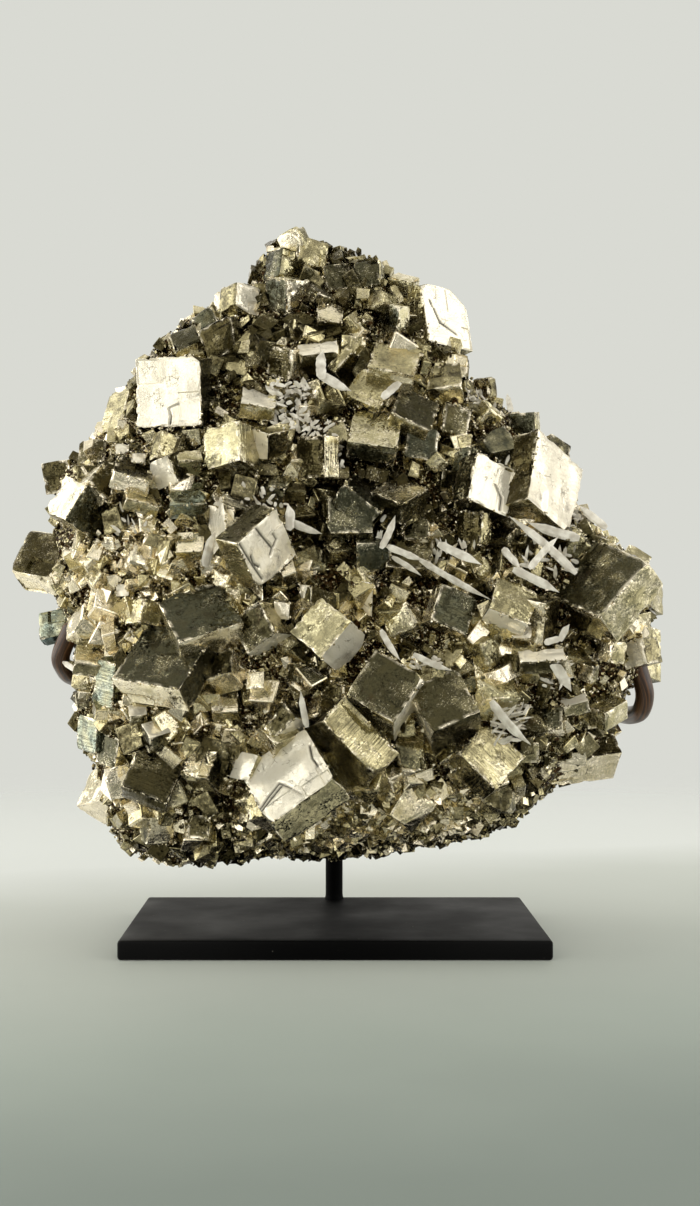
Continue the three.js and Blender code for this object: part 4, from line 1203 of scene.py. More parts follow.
def blades_in_spray(middle, reach, count, size, turn, seed):
    """Feet, tips and widths of a spray: feet by chance round its middle, tips a length away in its fan."""
    blades = []
    for i in range(count):
        item = 97 * seed + i
        aside = (2 * chance(item, np.array([1, 2])) - 1) * np.array(reach)
        ground = point_on_matrix(np.array(middle) + aside)
        rho = matrix_rho(ground[0], ground[2])
        ground = MATRIX_MIDDLE + (ground - MATRIX_MIDDLE) * min(1, QUARTZ_ENDS / rho)
        sunk = QUARTZ_SINKS * smooth_step((rho - QUARTZ_SINKS_FROM) / QUARTZ_SINKS_OVER)
        proud = QUARTZ_PROUD * (1 - sunk)
        angle = np.radians(turn[0] + (chance(item, 3) - 0.5) * turn[1])
        lift = np.radians(chance_over(BLADE_LIFT, item, 4))
        heading = np.array([np.cos(angle) * np.cos(lift), -np.sin(lift), np.sin(angle) * np.cos(lift)])
        length = size[0] * chance_over(BLADE_LENGTH, item, 5) * MM
        width = size[1] * chance_over(BLADE_WIDTH, item, 6) * MM
        foot = ground + np.array([0, -proud * chance_over(BLADE_HEIGHT, item, 7), 0])
        tip = foot + heading * length * (1 - BLADE_BEHIND)
        blades.append((foot - heading * length * BLADE_BEHIND, tip, width))
    return blades


def scattered_places(count, rim_share, seed, low_only=False):
    """
    Random places over the matrix: uniform in the XZ plane inside its outline, or low on it only, with a
    share of them drawn to the rim, where the surface is steep: there the way out is 1 - band r^2.
    """
    draw = np.random.default_rng(seed)
    angle = draw.uniform(*(np.radians(CRUSH_ANGLES) if low_only else (-np.pi, np.pi)), 4 * count)
    keep = draw.uniform(0, 1, 4 * count) < (outline_radius(angle) / OUTLINE_REACH.max()) ** 2
    angle = angle[keep][:count]
    rho = np.sqrt(draw.uniform(CRUSH_INNER_AREA if low_only else 0, 1, len(angle)))
    at_rim = draw.uniform(0, 1, len(angle)) < rim_share
    rho = np.where(at_rim, 1 - RIM_BAND * draw.uniform(0, 1, len(angle)) ** 2, rho)
    reach = rho * outline_radius(angle)
    x = MATRIX_MIDDLE[0] + np.cos(angle) * reach
    z = MATRIX_MIDDLE[2] + np.sin(angle) * reach
    return x, z, rho


def inside_any(places, crystals, margin):
    """Whether each place is deeper than a margin inside one of the crystals."""
    inside = np.zeros(len(places), bool)
    for crystal in crystals:
        local = (places - crystal["middle"]) @ crystal["axes"].T
        inside |= np.all(np.abs(local) < crystal["sizes"] / 2 - margin, axis=1)
    return inside


def over_face(crystal, places, room):
    """Whether places on the plane of a crystal's seen face lie on the face, or within room of it."""
    across = np.abs((places - crystal["face"]) @ crystal["axes"][:2].T)
    return np.all(across < crystal["sizes"][:2] / 2 + room[:, None], axis=1)


def shades_face(places, crystals, room):
    """Whether each place is within reach of a bright face, on the way that the eye's sight is mirrored."""
    shades = np.zeros(len(places), bool)
    for crystal in crystals:
        if crystal["group"] == "bright":
            out = crystal["axes"][2]
            sight = unit(crystal["face"] - EYE)
            mirrored = sight - 2 * (sight @ out) * out
            rise = (places - crystal["face"]) @ out
            met = places - (rise / (mirrored @ out))[:, None] * mirrored
            near = np.linalg.norm(places - crystal["face"], axis=1) < CLEAR_REACH
            shades |= (rise > 0) & near & over_face(crystal, met, room)
    return shades


def hides_face(places, crystals, room):
    """Whether each place lies in front of a measured face, on the eye's line of sight to it."""
    hides = np.zeros(len(places), bool)
    for crystal in crystals:
        met, far = seen_on_face(crystal, places - EYE)
        hides |= (far > 1) & over_face(crystal, met, room - FACE_MARGIN)
    return hides


def inside_cad(places, room):
    """Whether each place lies in the CAD model's box with room to spare."""
    low, high = np.array(CAD_BOX[0]), np.array(CAD_BOX[1])
    return np.all((places - room[:, None] > low) & (places + room[:, None] < high), axis=1)


def random_axes(draw, count):
    """Axes of random turns, as rows, from unit quaternions (w, x, y, z)."""
    w, x, y, z = unit(draw.normal(size=(count, 4))).T
    rows = np.array([
        [1 - 2 * (y * y + z * z), 2 * (x * y + w * z), 2 * (x * z - w * y)],
        [2 * (x * y - w * z), 1 - 2 * (x * x + z * z), 2 * (y * z + w * x)],
        [2 * (x * z + w * y), 2 * (y * z - w * x), 1 - 2 * (x * x + y * y)],
    ])
    return np.transpose(rows, (2, 0, 1))


class StandSettings(bpy.types.PropertyGroup):
    """Sizes and colours of the stand."""

    edge_rounding: bpy.props.FloatProperty(
        name="Edge rounding", description="Radius of the plate's edges", default=1.1 * MM, unit="LENGTH",
    )
    black: bpy.props.FloatVectorProperty(
        name="Black", description="Colour of the plate and post", size=4, subtype="COLOR",
        default=linear_from_hex("#060606"),
    )
    brown: bpy.props.FloatVectorProperty(
        name="Brown", description="Colour of the hooked arms", size=4, subtype="COLOR",
        default=linear_from_hex("#301E10"),
    )
    streak: bpy.props.FloatVectorProperty(
        name="Streak", description="Colour of the brushed streaks on the arms", size=4, subtype="COLOR",
        default=linear_from_hex("#7A5130"),
    )


class PyriteSettings(bpy.types.PropertyGroup):
    """Sizes and colours of the pyrite."""

    cell: bpy.props.FloatProperty(
        name="Face cell", description="Width of the squares that a crystal's faces are made of",
        default=0.95 * MM, unit="LENGTH",
    )
    bevel: bpy.props.FloatProperty(
        name="Edge rounding", description="Radius of the crystals' edges", default=0.28 * MM, unit="LENGTH",
    )
    growth_line: bpy.props.FloatProperty(
        name="Growth line", description="Distance between growth lines on a face", default=0.9 * MM,
        unit="LENGTH",
    )
    # Near white: fresh pyrite's colour, and the painted highlight of faces that are seen bright.
    fresh: bpy.props.FloatVectorProperty(
        name="Fresh", description="Mirror colour of fresh faces", size=4, subtype="COLOR",
        default=linear_from_hex("#FBF1D9"),
    )
    brass: bpy.props.FloatVectorProperty(
        name="Brass", description="Mirror colour of ordinary faces", size=4, subtype="COLOR",
        default=linear_from_hex("#BFB58C"),
    )
    # Dark: tarnished pyrite's colour, and the painted shade of faces that are seen dark.
    dull: bpy.props.FloatVectorProperty(
        name="Dull", description="Mirror colour of tarnished dark faces", size=4, subtype="COLOR",
        default=linear_from_hex("#453F28"),
    )
    stain: bpy.props.FloatVectorProperty(
        name="Stain", description="Colour of the brown iron stain", size=4, subtype="COLOR",
        default=linear_from_hex("#3A2A17"),
    )
    tarnish: bpy.props.FloatVectorProperty(
        name="Tarnish", description="Colour of the blue-green tarnish", size=4, subtype="COLOR",
        default=linear_from_hex("#5F7C80"),
    )


class QuartzSettings(bpy.types.PropertyGroup):
    """Colour and clearness of the quartz."""

    colour: bpy.props.FloatVectorProperty(
        name="Colour", description="Colour of the quartz", size=4, subtype="COLOR",
        default=linear_from_hex("#F7F0DF"),
    )
    clearness: bpy.props.FloatProperty(
        name="Clearness", description="Share of light that goes through", default=0.12, min=0, max=1,
        subtype="FACTOR",
    )


class StageSettings(bpy.types.PropertyGroup):
    """Colours and lights of the stage."""

    background: bpy.props.FloatVectorProperty(
        name="Background", description="Colour behind the specimen", size=4, subtype="COLOR",
        default=linear_from_hex("#D9DAD3"),
    )
    daylight: bpy.props.FloatProperty(
        name="Daylight", description="Brightness of the room on matt surfaces", default=0.8, min=0,
    )
    left_light: bpy.props.FloatProperty(
        name="Left light", description="Brightness of the soft box on the left", default=1.5, min=0,
    )
    right_light: bpy.props.FloatProperty(
        name="Right light", description="Brightness of the soft box on the right", default=1.8, min=0,
    )


def made_once(make, settings):
    """The material that a function makes and is named after, from the file if it is there already."""
    return bpy.data.materials.get(make.__name__) or make(settings)


def facet_height(add, place, spacing):
    """
    Height of a surface broken into small flat facets: in each cell of a Voronoi pattern, the dot product
    of the way from the cell's point and the cell's own random direction.
    """
    point = add("TexVoronoi", {"Vector": place, "Scale": 1 / spacing}, give="Position")
    way = add("VectorMath", [place, point], operation="SUBTRACT")
    tilt = add("VectorMath", [point.node.outputs["Color"], (0.5, 0.5, 0.5)], operation="SUBTRACT")
    return add("VectorMath", [way, tilt], give="Value", operation="DOT_PRODUCT")


def grown_face(add):
    """
    The values that a grown face carries, and the patterns that its look is mixed from. Its map is in
    millimetres: patches are 5 mm wide and grit 0.8 mm. Clouds 10 mm wide run over the whole specimen.
    """
    face = SimpleNamespace(map_mm=add("UVMap", uv_map="face_mm"), place=add("TexCoord", give="Object"))
    for name in ("tone", "striation", "tarnish", "crack", "worn"):
        setattr(face, name, add("Attribute", give="Fac", attribute_name=name))
    patch = {"Vector": face.map_mm, "Scale": 1 / 5, "Detail": 5.0, "Roughness": 0.62}
    face.patch = add("TexNoise", patch, **ON_MAP)
    grit = {"Vector": face.map_mm, "Scale": 1 / 0.8, "Detail": 3.0, "Roughness": 0.7}
    face.grit = add("TexNoise", grit, **ON_MAP)
    clouds = {"Vector": face.place, "Scale": 1 / (10 * MM), "Detail": 4.0, "Roughness": 0.6}
    face.clouds = add("TexNoise", clouds)
    face.rough_patch = add("MapRange", [face.patch, 0.54, 0.68])
    face.smoothness = add("MapRange", [face.tone, 0.4, 1.0, 1.0, 0.2])
    return face


def grown_face_colour(add, settings, face, stain):
    """
    The mirror colour of a grown face: dull, brass or fresh by its tone, the clouds and the patches, where
    the tone and the clouds' slow sheen are painted light, shade and reflection. Over it come, in turn,
    pale flecks as painted glints, brown stain, blue tarnish, worn edges with painted glints, stained
    wrinkles and cracks darkened as painted shade.
    """
    # The clouds move the tone slowly up and down: a painted reflection.
    sheen = add("MapRange", [face.clouds, 0.35, 0.65, -0.24, 0.13])
    own = add("Math", [sheen, face.smoothness, face.tone], operation="MULTIPLY_ADD")
    shift = add("MapRange", [face.patch, 0.0, 1.0, -0.22, 0.22])
    uneven = add("Math", [own, shift], operation="ADD")
    tones = [(0.05, settings.dull), (0.5, settings.brass), (0.95, settings.fresh)]
    colour = add("ValToRGB", {"Fac": uneven}, stops=tones)

    # Pale flecks in fresh cream: painted glints.
    brushed = add("Mapping", {"Vector": face.map_mm, "Scale": (1 / 0.5, 1 / 0.8, 1)})
    specks = add("TexNoise", {"Vector": brushed, "Scale": 1.0, "Detail": 4.0, "Roughness": 0.75}, **ON_MAP)
    glint_fleck = add("MapRange", [specks, 0.6, 0.64])
    glint_patch = add("MapRange", [face.clouds, 0.48, 0.64, 0.0, 0.8])
    glint_flecks = add("Math", [glint_fleck, glint_patch], operation="MULTIPLY")
    tarnish = add("Math", [face.tarnish, face.patch], operation="MULTIPLY")
    warp = {"Vector": face.map_mm, "Scale": 1 / 1.6, "Detail": 3.0, "Roughness": 0.6}
    warped = add("VectorMath", [face.map_mm, add("TexNoise", warp, give="Color", **ON_MAP)], operation="ADD")
    from_wrinkle = add(
        "TexVoronoi", {"Vector": warped, "Scale": 1 / 3.4}, voronoi_dimensions="2D",
        feature="DISTANCE_TO_EDGE",
    )
    wrinkle = add("MapRange", [from_wrinkle, 0.01, 0.045, 0.85, 0.0])
    wrinkles = add("Math", [wrinkle, face.rough_patch], operation="MULTIPLY")
    for share, tint in (
        (glint_flecks, settings.fresh), (stain, settings.stain), (tarnish, settings.tarnish),
        (face.worn, settings.fresh), (wrinkles, settings.stain),
        (face.crack, linear_from_hex(CRACK_SHADE_COLOUR)),
    ):
        colour = add("Mix", {0: share, 6: colour, 7: tint}, give=2, data_type="RGBA")
    return colour


def grown_face_relief(add, line_mm, face):
    """
    The relief of a grown face, from fine to coarse: grit, small facets where it is crumpled, growth lines
    stretched twenty times along the face, terraces of 3.2 by 7.5 mm and pits 1.3 mm apart.
    """
    along = add("Mapping", {"Vector": face.map_mm, "Scale": (1 / line_mm, 0.05 / line_mm, 1)})
    lines = add("TexNoise", {"Vector": along, "Scale": 1.0, "Detail": 2.5, "Roughness": 0.6}, **ON_MAP)
    deep_lines = add("Math", [lines, face.striation], operation="MULTIPLY")
    stretched = add("Mapping", {"Vector": face.map_mm, "Scale": (1 / 3.2, 1 / 7.5, 1)})
    hills = add("TexNoise", {"Vector": stretched, "Scale": 1.0, "Detail": 3.0, "Roughness": 0.5}, **ON_MAP)
    terraces = add("Math", [hills, 0.07], operation="SNAP")
    from_pit = add("TexVoronoi", {"Vector": face.map_mm, "Scale": 1 / 1.3}, voronoi_dimensions="2D")
    pit = add("MapRange", [from_pit, 0.0, 0.22, -1.0, 0.0])
    pits = add("Math", [pit, face.rough_patch], operation="MULTIPLY")
    crumpled = add("MapRange", [face.patch, 0.42, 0.62, 0.08, 0.8])
    crumpling = add("Math", [crumpled, face.smoothness], operation="MULTIPLY")
    facets = add("Math", [facet_height(add, face.place, 0.75 * MM), crumpling], operation="MULTIPLY")
    normal = add("Bump", {"Height": face.grit, "Strength": 0.3, "Distance": 0.03 * MM})
    for height, strength, depth in (
        (facets, 1.0, FACET_TILT), (deep_lines, 0.8, 0.3 * MM), (terraces, 0.9, 1.2 * MM),
        (pits, 0.8, 0.2 * MM),
    ):
        normal = add("Bump", {"Height": height, "Strength": strength, "Distance": depth, "Normal": normal})
    return normal


def pyrite_grown_faces(settings):
    """
    Pyrite grown as cubes, with striated faces. It gives the eye flat mirrors of pale brass that run from
    near black to cream, partly with what they reflect and partly by painted light and shade in their tone,
    with fine growth lines, small pits and brown stain. The brightest tones are part matt, a painted
    highlight.
    """
    add, finish = new_material("pyrite_grown_faces")
    face = grown_face(add)
    # The brightest tones turn part matt in fresh cream: a painted highlight.
    highlight_share = add("MapRange", [face.tone, BRIGHTEST_SMALL, 1.0])
    metallic = add("Math", [highlight_share, -0.6, 1.0], operation="MULTIPLY_ADD")
    blots = add("TexNoise", {"Vector": face.place, "Scale": 1 / (9 * MM), "Detail": 6.0, "Roughness": 0.68})
    stain = add("MapRange", [blots, 0.58, 0.72, 0.0, 0.75])
    polish = add("MapRange", [face.grit, 0.3, 0.75, 0.05, 0.15])
    scattering = add("Math", [face.tone, 0.1, polish], operation="MULTIPLY_ADD")
    roughness = add("Math", [stain, 0.35, scattering], operation="MULTIPLY_ADD")
    colour = grown_face_colour(add, settings, face, stain)
    normal = grown_face_relief(add, settings.growth_line / MM, face)
    return finish(add("BsdfPrincipled", {
        "Base Color": colour, "Metallic": metallic, "Roughness": roughness, "Normal": normal,
    }))


def pyrite_granular(settings):
    """
    Pyrite crushed and grown as fine grains. It gives the eye a dark crust that sparkles: every grain is a
    small mirror of its own, each cell's tone shifted by chance with the pale cells as painted glints, and
    with brown stain in the hollows.
    """
    add, finish = new_material("pyrite_granular")
    place = add("TexCoord", give="Object")
    tone = add("Attribute", give="Fac", attribute_name="tone")
    cells = add("TexVoronoi", {"Vector": place, "Scale": 1 / (0.8 * MM)}, give="Color")
    cell = add("SeparateColor", {"Color": cells}, give="Red")
    grit = add("TexNoise", {"Vector": place, "Scale": 1 / (0.9 * MM), "Detail": 4.0, "Roughness": 0.7})
    # Each cell's tone is shifted by chance; the pale cells are painted glints.
    cell_glint = add("MapRange", [cell, 0.35, 0.9, -0.35, 0.65])
    mixed = add("Math", [cell_glint, tone], operation="ADD")
    tones = [(0.0, settings.stain), (0.2, settings.dull), (0.6, settings.brass), (1.0, settings.fresh)]
    metal = add("ValToRGB", {"Fac": mixed}, stops=tones)
    blots = add("TexNoise", {"Vector": place, "Scale": 1 / (7 * MM), "Detail": 5.0, "Roughness": 0.65})
    stain = add("MapRange", [blots, 0.52, 0.7, 0.0, 0.6])
    colour = add("Mix", {0: stain, 6: metal, 7: settings.stain}, give=2, data_type="RGBA")
    roughness = add("MapRange", [grit, 0.3, 0.7, 0.12, 0.32])
    height = add("Math", [cell, 0.5, grit], operation="MULTIPLY_ADD")
    bumpy = add("Bump", {"Height": height, "Strength": 0.7, "Distance": 0.2 * MM})
    facets = facet_height(add, place, 0.7 * MM)
    relief = {"Height": facets, "Strength": 1.0, "Distance": GRAIN_FACET_TILT, "Normal": bumpy}
    return finish(add("BsdfPrincipled", {
        "Base Color": colour, "Metallic": 1.0, "Roughness": roughness, "Normal": add("Bump", relief),
    }))


def milky_quartz(settings):
    """
    Quartz, grown as thin six-sided blades. It gives the eye clouded cream-white plates that let a little
    light through, with a soft glassy shine.
    """
    add, finish = new_material("milky_quartz")
    place = add("TexCoord", give="Object")
    clouds = add("TexNoise", {"Vector": place, "Scale": 1 / (2.2 * MM), "Detail": 4.0})
    creams = [(0.3, linear_from_hex("#DDD3BE")), (0.7, settings.colour)]
    milk = add("ValToRGB", {"Fac": clouds}, stops=creams)
    clear = add("MapRange", [clouds, 0.35, 0.65, settings.clearness + 0.2, settings.clearness - 0.2])
    bumpy = add("Bump", {"Height": clouds, "Strength": 0.3, "Distance": 0.05 * MM})
    return finish(add("BsdfPrincipled", {
        "Base Color": milk, "Roughness": 0.35, "IOR": 1.544, "Transmission Weight": clear, "Normal": bumpy,
    }))


def satin_black_enamel(settings):
    """
    Steel sprayed with satin black enamel. It gives the eye a near-black with a broad soft sheen, which
    grows away from the middle, the weak middle being painted shade under the specimen, a faint orange
    peel and a few pale specks of dust.
    """
    add, finish = new_material("satin_black_enamel")
    place = add("TexCoord", give="Object")
    peel = add("TexNoise", {"Vector": place, "Scale": 1 / (1.1 * MM), "Detail": 2.0})
    smears = add("TexNoise", {"Vector": place, "Scale": 1 / (28 * MM), "Detail": 5.0})
    from_speck = add("TexVoronoi", {"Vector": place, "Scale": 1 / (6 * MM)})
    dust = add("MapRange", [from_speck, 0.0, 0.05, 0.5, 0.0])
    paint = add("Mix", {0: dust, 6: settings.black, 7: linear_from_hex("#8E8A80")}, give=2, data_type="RGBA")
    roughness = add("MapRange", [smears, 0.3, 0.7, 0.45, 0.65])
    # The sheen is weaker in the middle: painted shade under the specimen.
    aside = add("SeparateXYZ", {"Vector": place}, give="X")
    from_middle = add("Math", [aside], operation="ABSOLUTE")
    sheen = add("MapRange", [from_middle, 5 * MM, 60 * MM, 0.035, 0.09], interpolation_type="SMOOTHSTEP")
    bumpy = add("Bump", {"Height": peel, "Strength": 0.25, "Distance": 0.05 * MM})
    return finish(add("BsdfPrincipled", {
        "Base Color": paint, "Roughness": roughness, "IOR": 1.5, "Specular IOR Level": sheen,
        "Normal": bumpy,
    }))


def brushed_brown_lacquer(settings):
    """
    Steel rod brushed with brown lacquer. It gives the eye a dark reddish brown with lighter streaks along
    the rod and a soft shine.
    """
    add, finish = new_material("brushed_brown_lacquer")
    around = add("UVMap", uv_map="face_mm")
    stretched = add("Mapping", {"Vector": around, "Scale": (1 / 0.9, 1 / 14, 1)})
    streaks = add("TexNoise", {"Vector": stretched, "Scale": 1.0, "Detail": 4.0, "Roughness": 0.6}, **ON_MAP)
    share = add("MapRange", [streaks, 0.45, 0.7, 0.0, 0.8])
    paint = add("Mix", {0: share, 6: settings.brown, 7: settings.streak}, give=2, data_type="RGBA")
    bumpy = add("Bump", {"Height": streaks, "Strength": 0.4, "Distance": 0.12 * MM})
    lacquer = {"Base Color": paint, "Roughness": 0.36, "IOR": 1.5, "Normal": bumpy}
    return finish(add("BsdfPrincipled", lacquer))


def painted_table():
    """
    A pale painted table top. It gives the eye a matt grey-green that is darkest just in front of the
    stand, as painted shade, and pales both ways from there, and it fades into the background far out, so
    that no edge shows.
    In mirrors it is part clear, as if the light of the room came from below it too.
    """
    add, finish = new_material("painted_table")
    place = add("TexCoord", give="Object")
    aside = add("SeparateXYZ", {"Vector": place}, give="X")
    slant = add("Math", [aside, -0.35, aside.node.outputs["Y"]], operation="MULTIPLY_ADD")
    behind = add("MapRange", [slant, -0.35, 0.25])
    in_front = add("MapRange", [slant, -0.36, -0.6])
    paleness = add("Math", [behind, in_front], operation="MAXIMUM")
    clouds = add("TexNoise", {"Vector": place, "Scale": 9.0, "Detail": 3.0})
    uneven = add("Math", [clouds, 0.12, paleness], operation="MULTIPLY_ADD")
    tones = [(position, linear_from_hex(code)) for position, code in TABLE_SHADE_TONES]
    paint = add("ValToRGB", {"Fac": uneven}, stops=tones)
    matt = add("BsdfPrincipled", {"Base Color": paint, "Roughness": 0.75})
    clear = add("BsdfTransparent")
    distance = add("VectorMath", [place], give="Value", operation="LENGTH")
    gone = add("MapRange", [distance, TABLE_FADES_FROM, TABLE_FADES_TO], interpolation_type="SMOOTHSTEP")
    mirrored = add("LightPath", give="Is Glossy Ray")
    thin = add("Math", [mirrored, 1 - TABLE_IN_MIRRORS], operation="MULTIPLY")
    unseen = add("Math", [gone, thin], operation="MAXIMUM")
    return finish(add("MixShader", [unseen, matt, clear]))


def measured_crystals():
    """The measured crystals with their names and the group that their seen face belongs to."""
    return [
        dict(read_crystal(*facts[:4], **dict(*facts[4:])), name=name, group=group)
        for group, members in CRYSTALS.items() for name, facts in members.items()
    ]


def all_crystals():
    """The measured crystals, and the filler cubes of the front and of the back."""
    measured = measured_crystals()
    front = filler_cubes(front=True, crystals=measured, **FRONT_CUBES)
    back = filler_cubes(front=False, crystals=measured, **BACK_CUBES)
    return measured, front, back


def stand_piece(name, points, faces, uv, material, node):
    """A piece of the stand, riding on the root body in place of its CAD node."""
    piece = put_mesh(name, points, faces, material, True, uv)
    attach(piece, "root")
    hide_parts(node)


def rod_with_round_tip(line):
    """A line and its reach with a round end: past the last point, sin t along and cos t wide."""
    turn = np.linspace(0, np.radians(TIP_ENDS_AT), TIP_RINGS)[1:]
    ahead = unit(line[-1] - line[-2])
    cap = line[-1] + ahead * ROD_RADIUS * np.sin(turn)[:, None]
    reach = np.concatenate([np.full(len(line), ROD_RADIUS), ROD_RADIUS * np.cos(turn)])
    return np.vstack([line, cap]), reach


class SPECIMEN_OT_stand(bpy.types.Operator):
    """Makes the base plate, the post and the two hooked arms"""

    bl_idname = "specimen.stand"
    bl_label = "Stand"

    def execute(self, context):
        settings = context.scene.specimen_stand
        enamel = satin_black_enamel(settings)
        lacquer = brushed_brown_lacquer(settings)
        self.lay_plate(settings, enamel)
        self.raise_post(enamel)
        self.bend_arm("left_arm", LEFT_ARM, np.array([1.0, -1.0, -1.0]), lacquer)
        self.bend_arm("right_arm", RIGHT_ARM, np.array([-1.0, -1.0, -1.0]), lacquer)
        return {"FINISHED"}

    def lay_plate(self, settings, enamel):
        """The base plate: a flat block with rounded edges."""
        sizes = np.array([PLATE_WIDTH, PLATE_DEPTH, PLATE_THICKNESS])
        plate = dict(sizes=sizes, axes=np.eye(3), middle=np.array([0, 0, PLATE_THICKNESS / 2]))
        block = crystal_surface(plate, 1, PLATE_CELL, settings.edge_rounding, roughness=0.0)
        points = to_world(plate, block["local"])
        stand_piece(
            "base_plate_enamelled", points, [block["corners"]], block["uv"], enamel, "base_plate",
        )

    def raise_post(self, enamel):
        """The post: a round rod whose reach grows downwards, by exp(-(height)^2), into a fillet."""
        height = np.linspace(PLATE_THICKNESS, POST_HEIGHT, POST_RINGS)
        above = (height - PLATE_THICKNESS) / MM
        reach = ROD_RADIUS + WELD_FILLET * np.exp(-((above / WELD_FILLET_MM) ** 2))
        line = np.stack([np.zeros_like(height), np.full_like(height, POST_Y), height], axis=-1)
        post = swept_surface(line, np.array([0.0, 1.0, 0.0]), reach, round_section(POST_SIDES))
        stand_piece(
            "post_enamelled", post["points"], [post["quads"], post["caps"]], post["uv"], enamel, "post",
        )

    def bend_arm(self, node, path, reference, lacquer):
        """A hooked arm: a round rod along its path, with a bell of weld near its start."""
        line, reach = rod_with_round_tip(path)
        walked = np.linspace(0, 1, len(line)) * len(line)
        reach = reach + WELD_BEAD * np.exp(-(((walked - WELD_BEAD_RING) / WELD_BEAD_RINGS) ** 2))
        rod = swept_surface(line, reference, reach, round_section(ARM_SIDES))
        stand_piece(
            node + "_lacquered", rod["points"], [rod["quads"], rod["caps"]], rod["uv"], lacquer, node,
        )


def side_tones(crystal, seed):
    """
    The tones of a crystal's six sides, painted light and shade in their colour: its own by chance and a
    spread, and then, on a measured crystal, those that the picture shows, or else the painted shade and
    light of the area that it is in.
    """
    group = crystal["group"]
    own_tone = OTHER_SIDE_TONE[group] + OTHER_SIDE_SPREAD[group] * chance(seed, 7)
    tones = own_tone + SIDE_TONE_SPREAD * (chance(seed, np.arange(6)) - 0.5)
    if group in SEEN_TONE:
        tones[SEEN_SIDE] = SEEN_TONE[group]
    else:
        tones = np.clip(tones + shade_of(crystal["middle"][None]), 0, BRIGHTEST_SMALL)
    for way, look in OTHER_SIDES.get(crystal["name"], {}).items():
        tones[side_towards(crystal, way)] = SEEN_TONE[look]
    return tones


def grown_crystal(crystal, seed, settings):
    """One crystal's surface in the part's frame, with its tones, growth lines, tarnish and cracks."""
    name, group = crystal["name"], crystal["group"]
    cell = (CRACKED_CELL, CRACKED_CELL, settings.cell) if name in CRACKS else settings.cell
    nearest = NEAREST_CUT_ON_MEASURED if group in SEEN_TONE else NEAREST_CUT
    cuts = cuts_by_chance(crystal["sizes"] / 2, seed, nearest)
    cuts += cuts_by_pixels(crystal, CUT_CORNERS.get(name, []))
    worn_round = name in ROUNDED or (group == "mixed" and chance(seed, 77) < ROUND_SHARE)
    bevel, roughness = (ROUND_BEVEL, ROUND_ROUGHNESS) if worn_round else (settings.bevel, 1.0)
    block = crystal_surface(crystal, seed, cell, bevel, roughness, cuts)
    world = to_world(crystal, block["local"])
    crack = crack_share(crystal, name, world)
    world -= crack[:, None] * CRACK_DEPTH * crystal["axes"][2]
    striation = 1.0 if name in STRIATED else FAINTEST_LINES + LINES_SPREAD * chance(seed, 8) ** 3
    tarnish = 1.0 if group == "blue" else TARNISH_SPREAD * chance(seed, 9) ** 2
    count = len(block["corners"])
    return dict(
        points=world, corners=block["corners"], uv=block["uv"], crack=crack, worn=block["worn"],
        tone=side_tones(crystal, seed)[block["side"]], striation=np.full(count, striation),
        tarnish=np.full(count, tarnish),
    )


class SPECIMEN_OT_crystals(bpy.types.Operator):
    """Grows the large crystals, group by group"""

    bl_idname = "specimen.crystals"
    bl_label = "Large crystals"

    def execute(self, context):
        settings = context.scene.specimen_pyrite
        material = made_once(pyrite_grown_faces, settings)
        measured, front, back = all_crystals()
        for group in CRYSTALS:
            members = [c for c in measured if c["group"] == group and c["name"] not in CRACKS]
            self.grow("crystals_" + group, members, material, settings, 100)
        self.grow("crystals_cracked", [c for c in measured if c["name"] in CRACKS], material, settings, 300)
        for name, cubes in (("crystals_between", front), ("crystals_on_back", back)):
            for i, cube in enumerate(cubes):
                cube.update(name=f"{name}_{i}", group="mixed")
            self.grow(name, cubes, material, settings, 400)
        return {"FINISHED"}

    def grow(self, name, crystals, material, settings, first_seed):
        """Puts one group of crystals into one mesh."""
        first_seed += 37 * len(name)
        surfaces = [grown_crystal(crystal, first_seed + i, settings) for i, crystal in enumerate(crystals)]
        specimen_piece(name, join_surfaces(surfaces), material, True)


class SPECIMEN_OT_matrix(bpy.types.Operator):
    """Makes the granular matrix under the crystals"""

    bl_idname = "specimen.matrix"
    bl_label = "Matrix"

    def execute(self, context):
        """
        A box grid pushed onto a sphere: the direction (dx, dy, dz) is laid at the matrix's middle plus
        (dx, dz) times the outline's radius, at the dome's depth, and then moved in and out by noise.
        """
        material = made_once(pyrite_granular, context.scene.specimen_pyrite)
        places, corners, _, _ = closed_lattice([MATRIX_CELLS + 1] * 3)
        direction = unit(np.tan((places / MATRIX_CELLS - 0.5) * np.pi / 2))
        radius = outline_radius(np.arctan2(direction[:, 2], direction[:, 0]))
        x = MATRIX_MIDDLE[0] + direction[:, 0] * radius
        z = MATRIX_MIDDLE[2] + direction[:, 2] * radius
        rho = np.hypot(direction[:, 0], direction[:, 2])
        points = np.stack([x, matrix_y(x, z, rho, direction[:, 1] < 0), z], axis=-1)
        grains = value_noise(points, MATRIX_COARSE, 11) + 0.6 * value_noise(points, MATRIX_FINE, 12)
        points = points + direction * ((grains - 1.0) * MATRIX_ROUGHNESS)[:, None]
        count = len(corners)
        surface = dict(points=points, corners=corners, uv=np.zeros((count, 4, 2)))
        # The matrix takes the darkest seen tone: its own dark crust, and painted shade between the crystals.
        surface["tone"] = np.full(count, SEEN_TONE["dark"])
        specimen_piece("matrix_granular", surface, material, False)
        return {"FINISHED"}


def in_crush(places):
    """Whether places lie in the finely crushed band along the bottom."""
    pixels = pixels_of(places)
    return (pixels[:, 1] > CRUSH_TOP_PIXEL) & (pixels[:, 0] > CRUSH_LEFT_PIXEL)


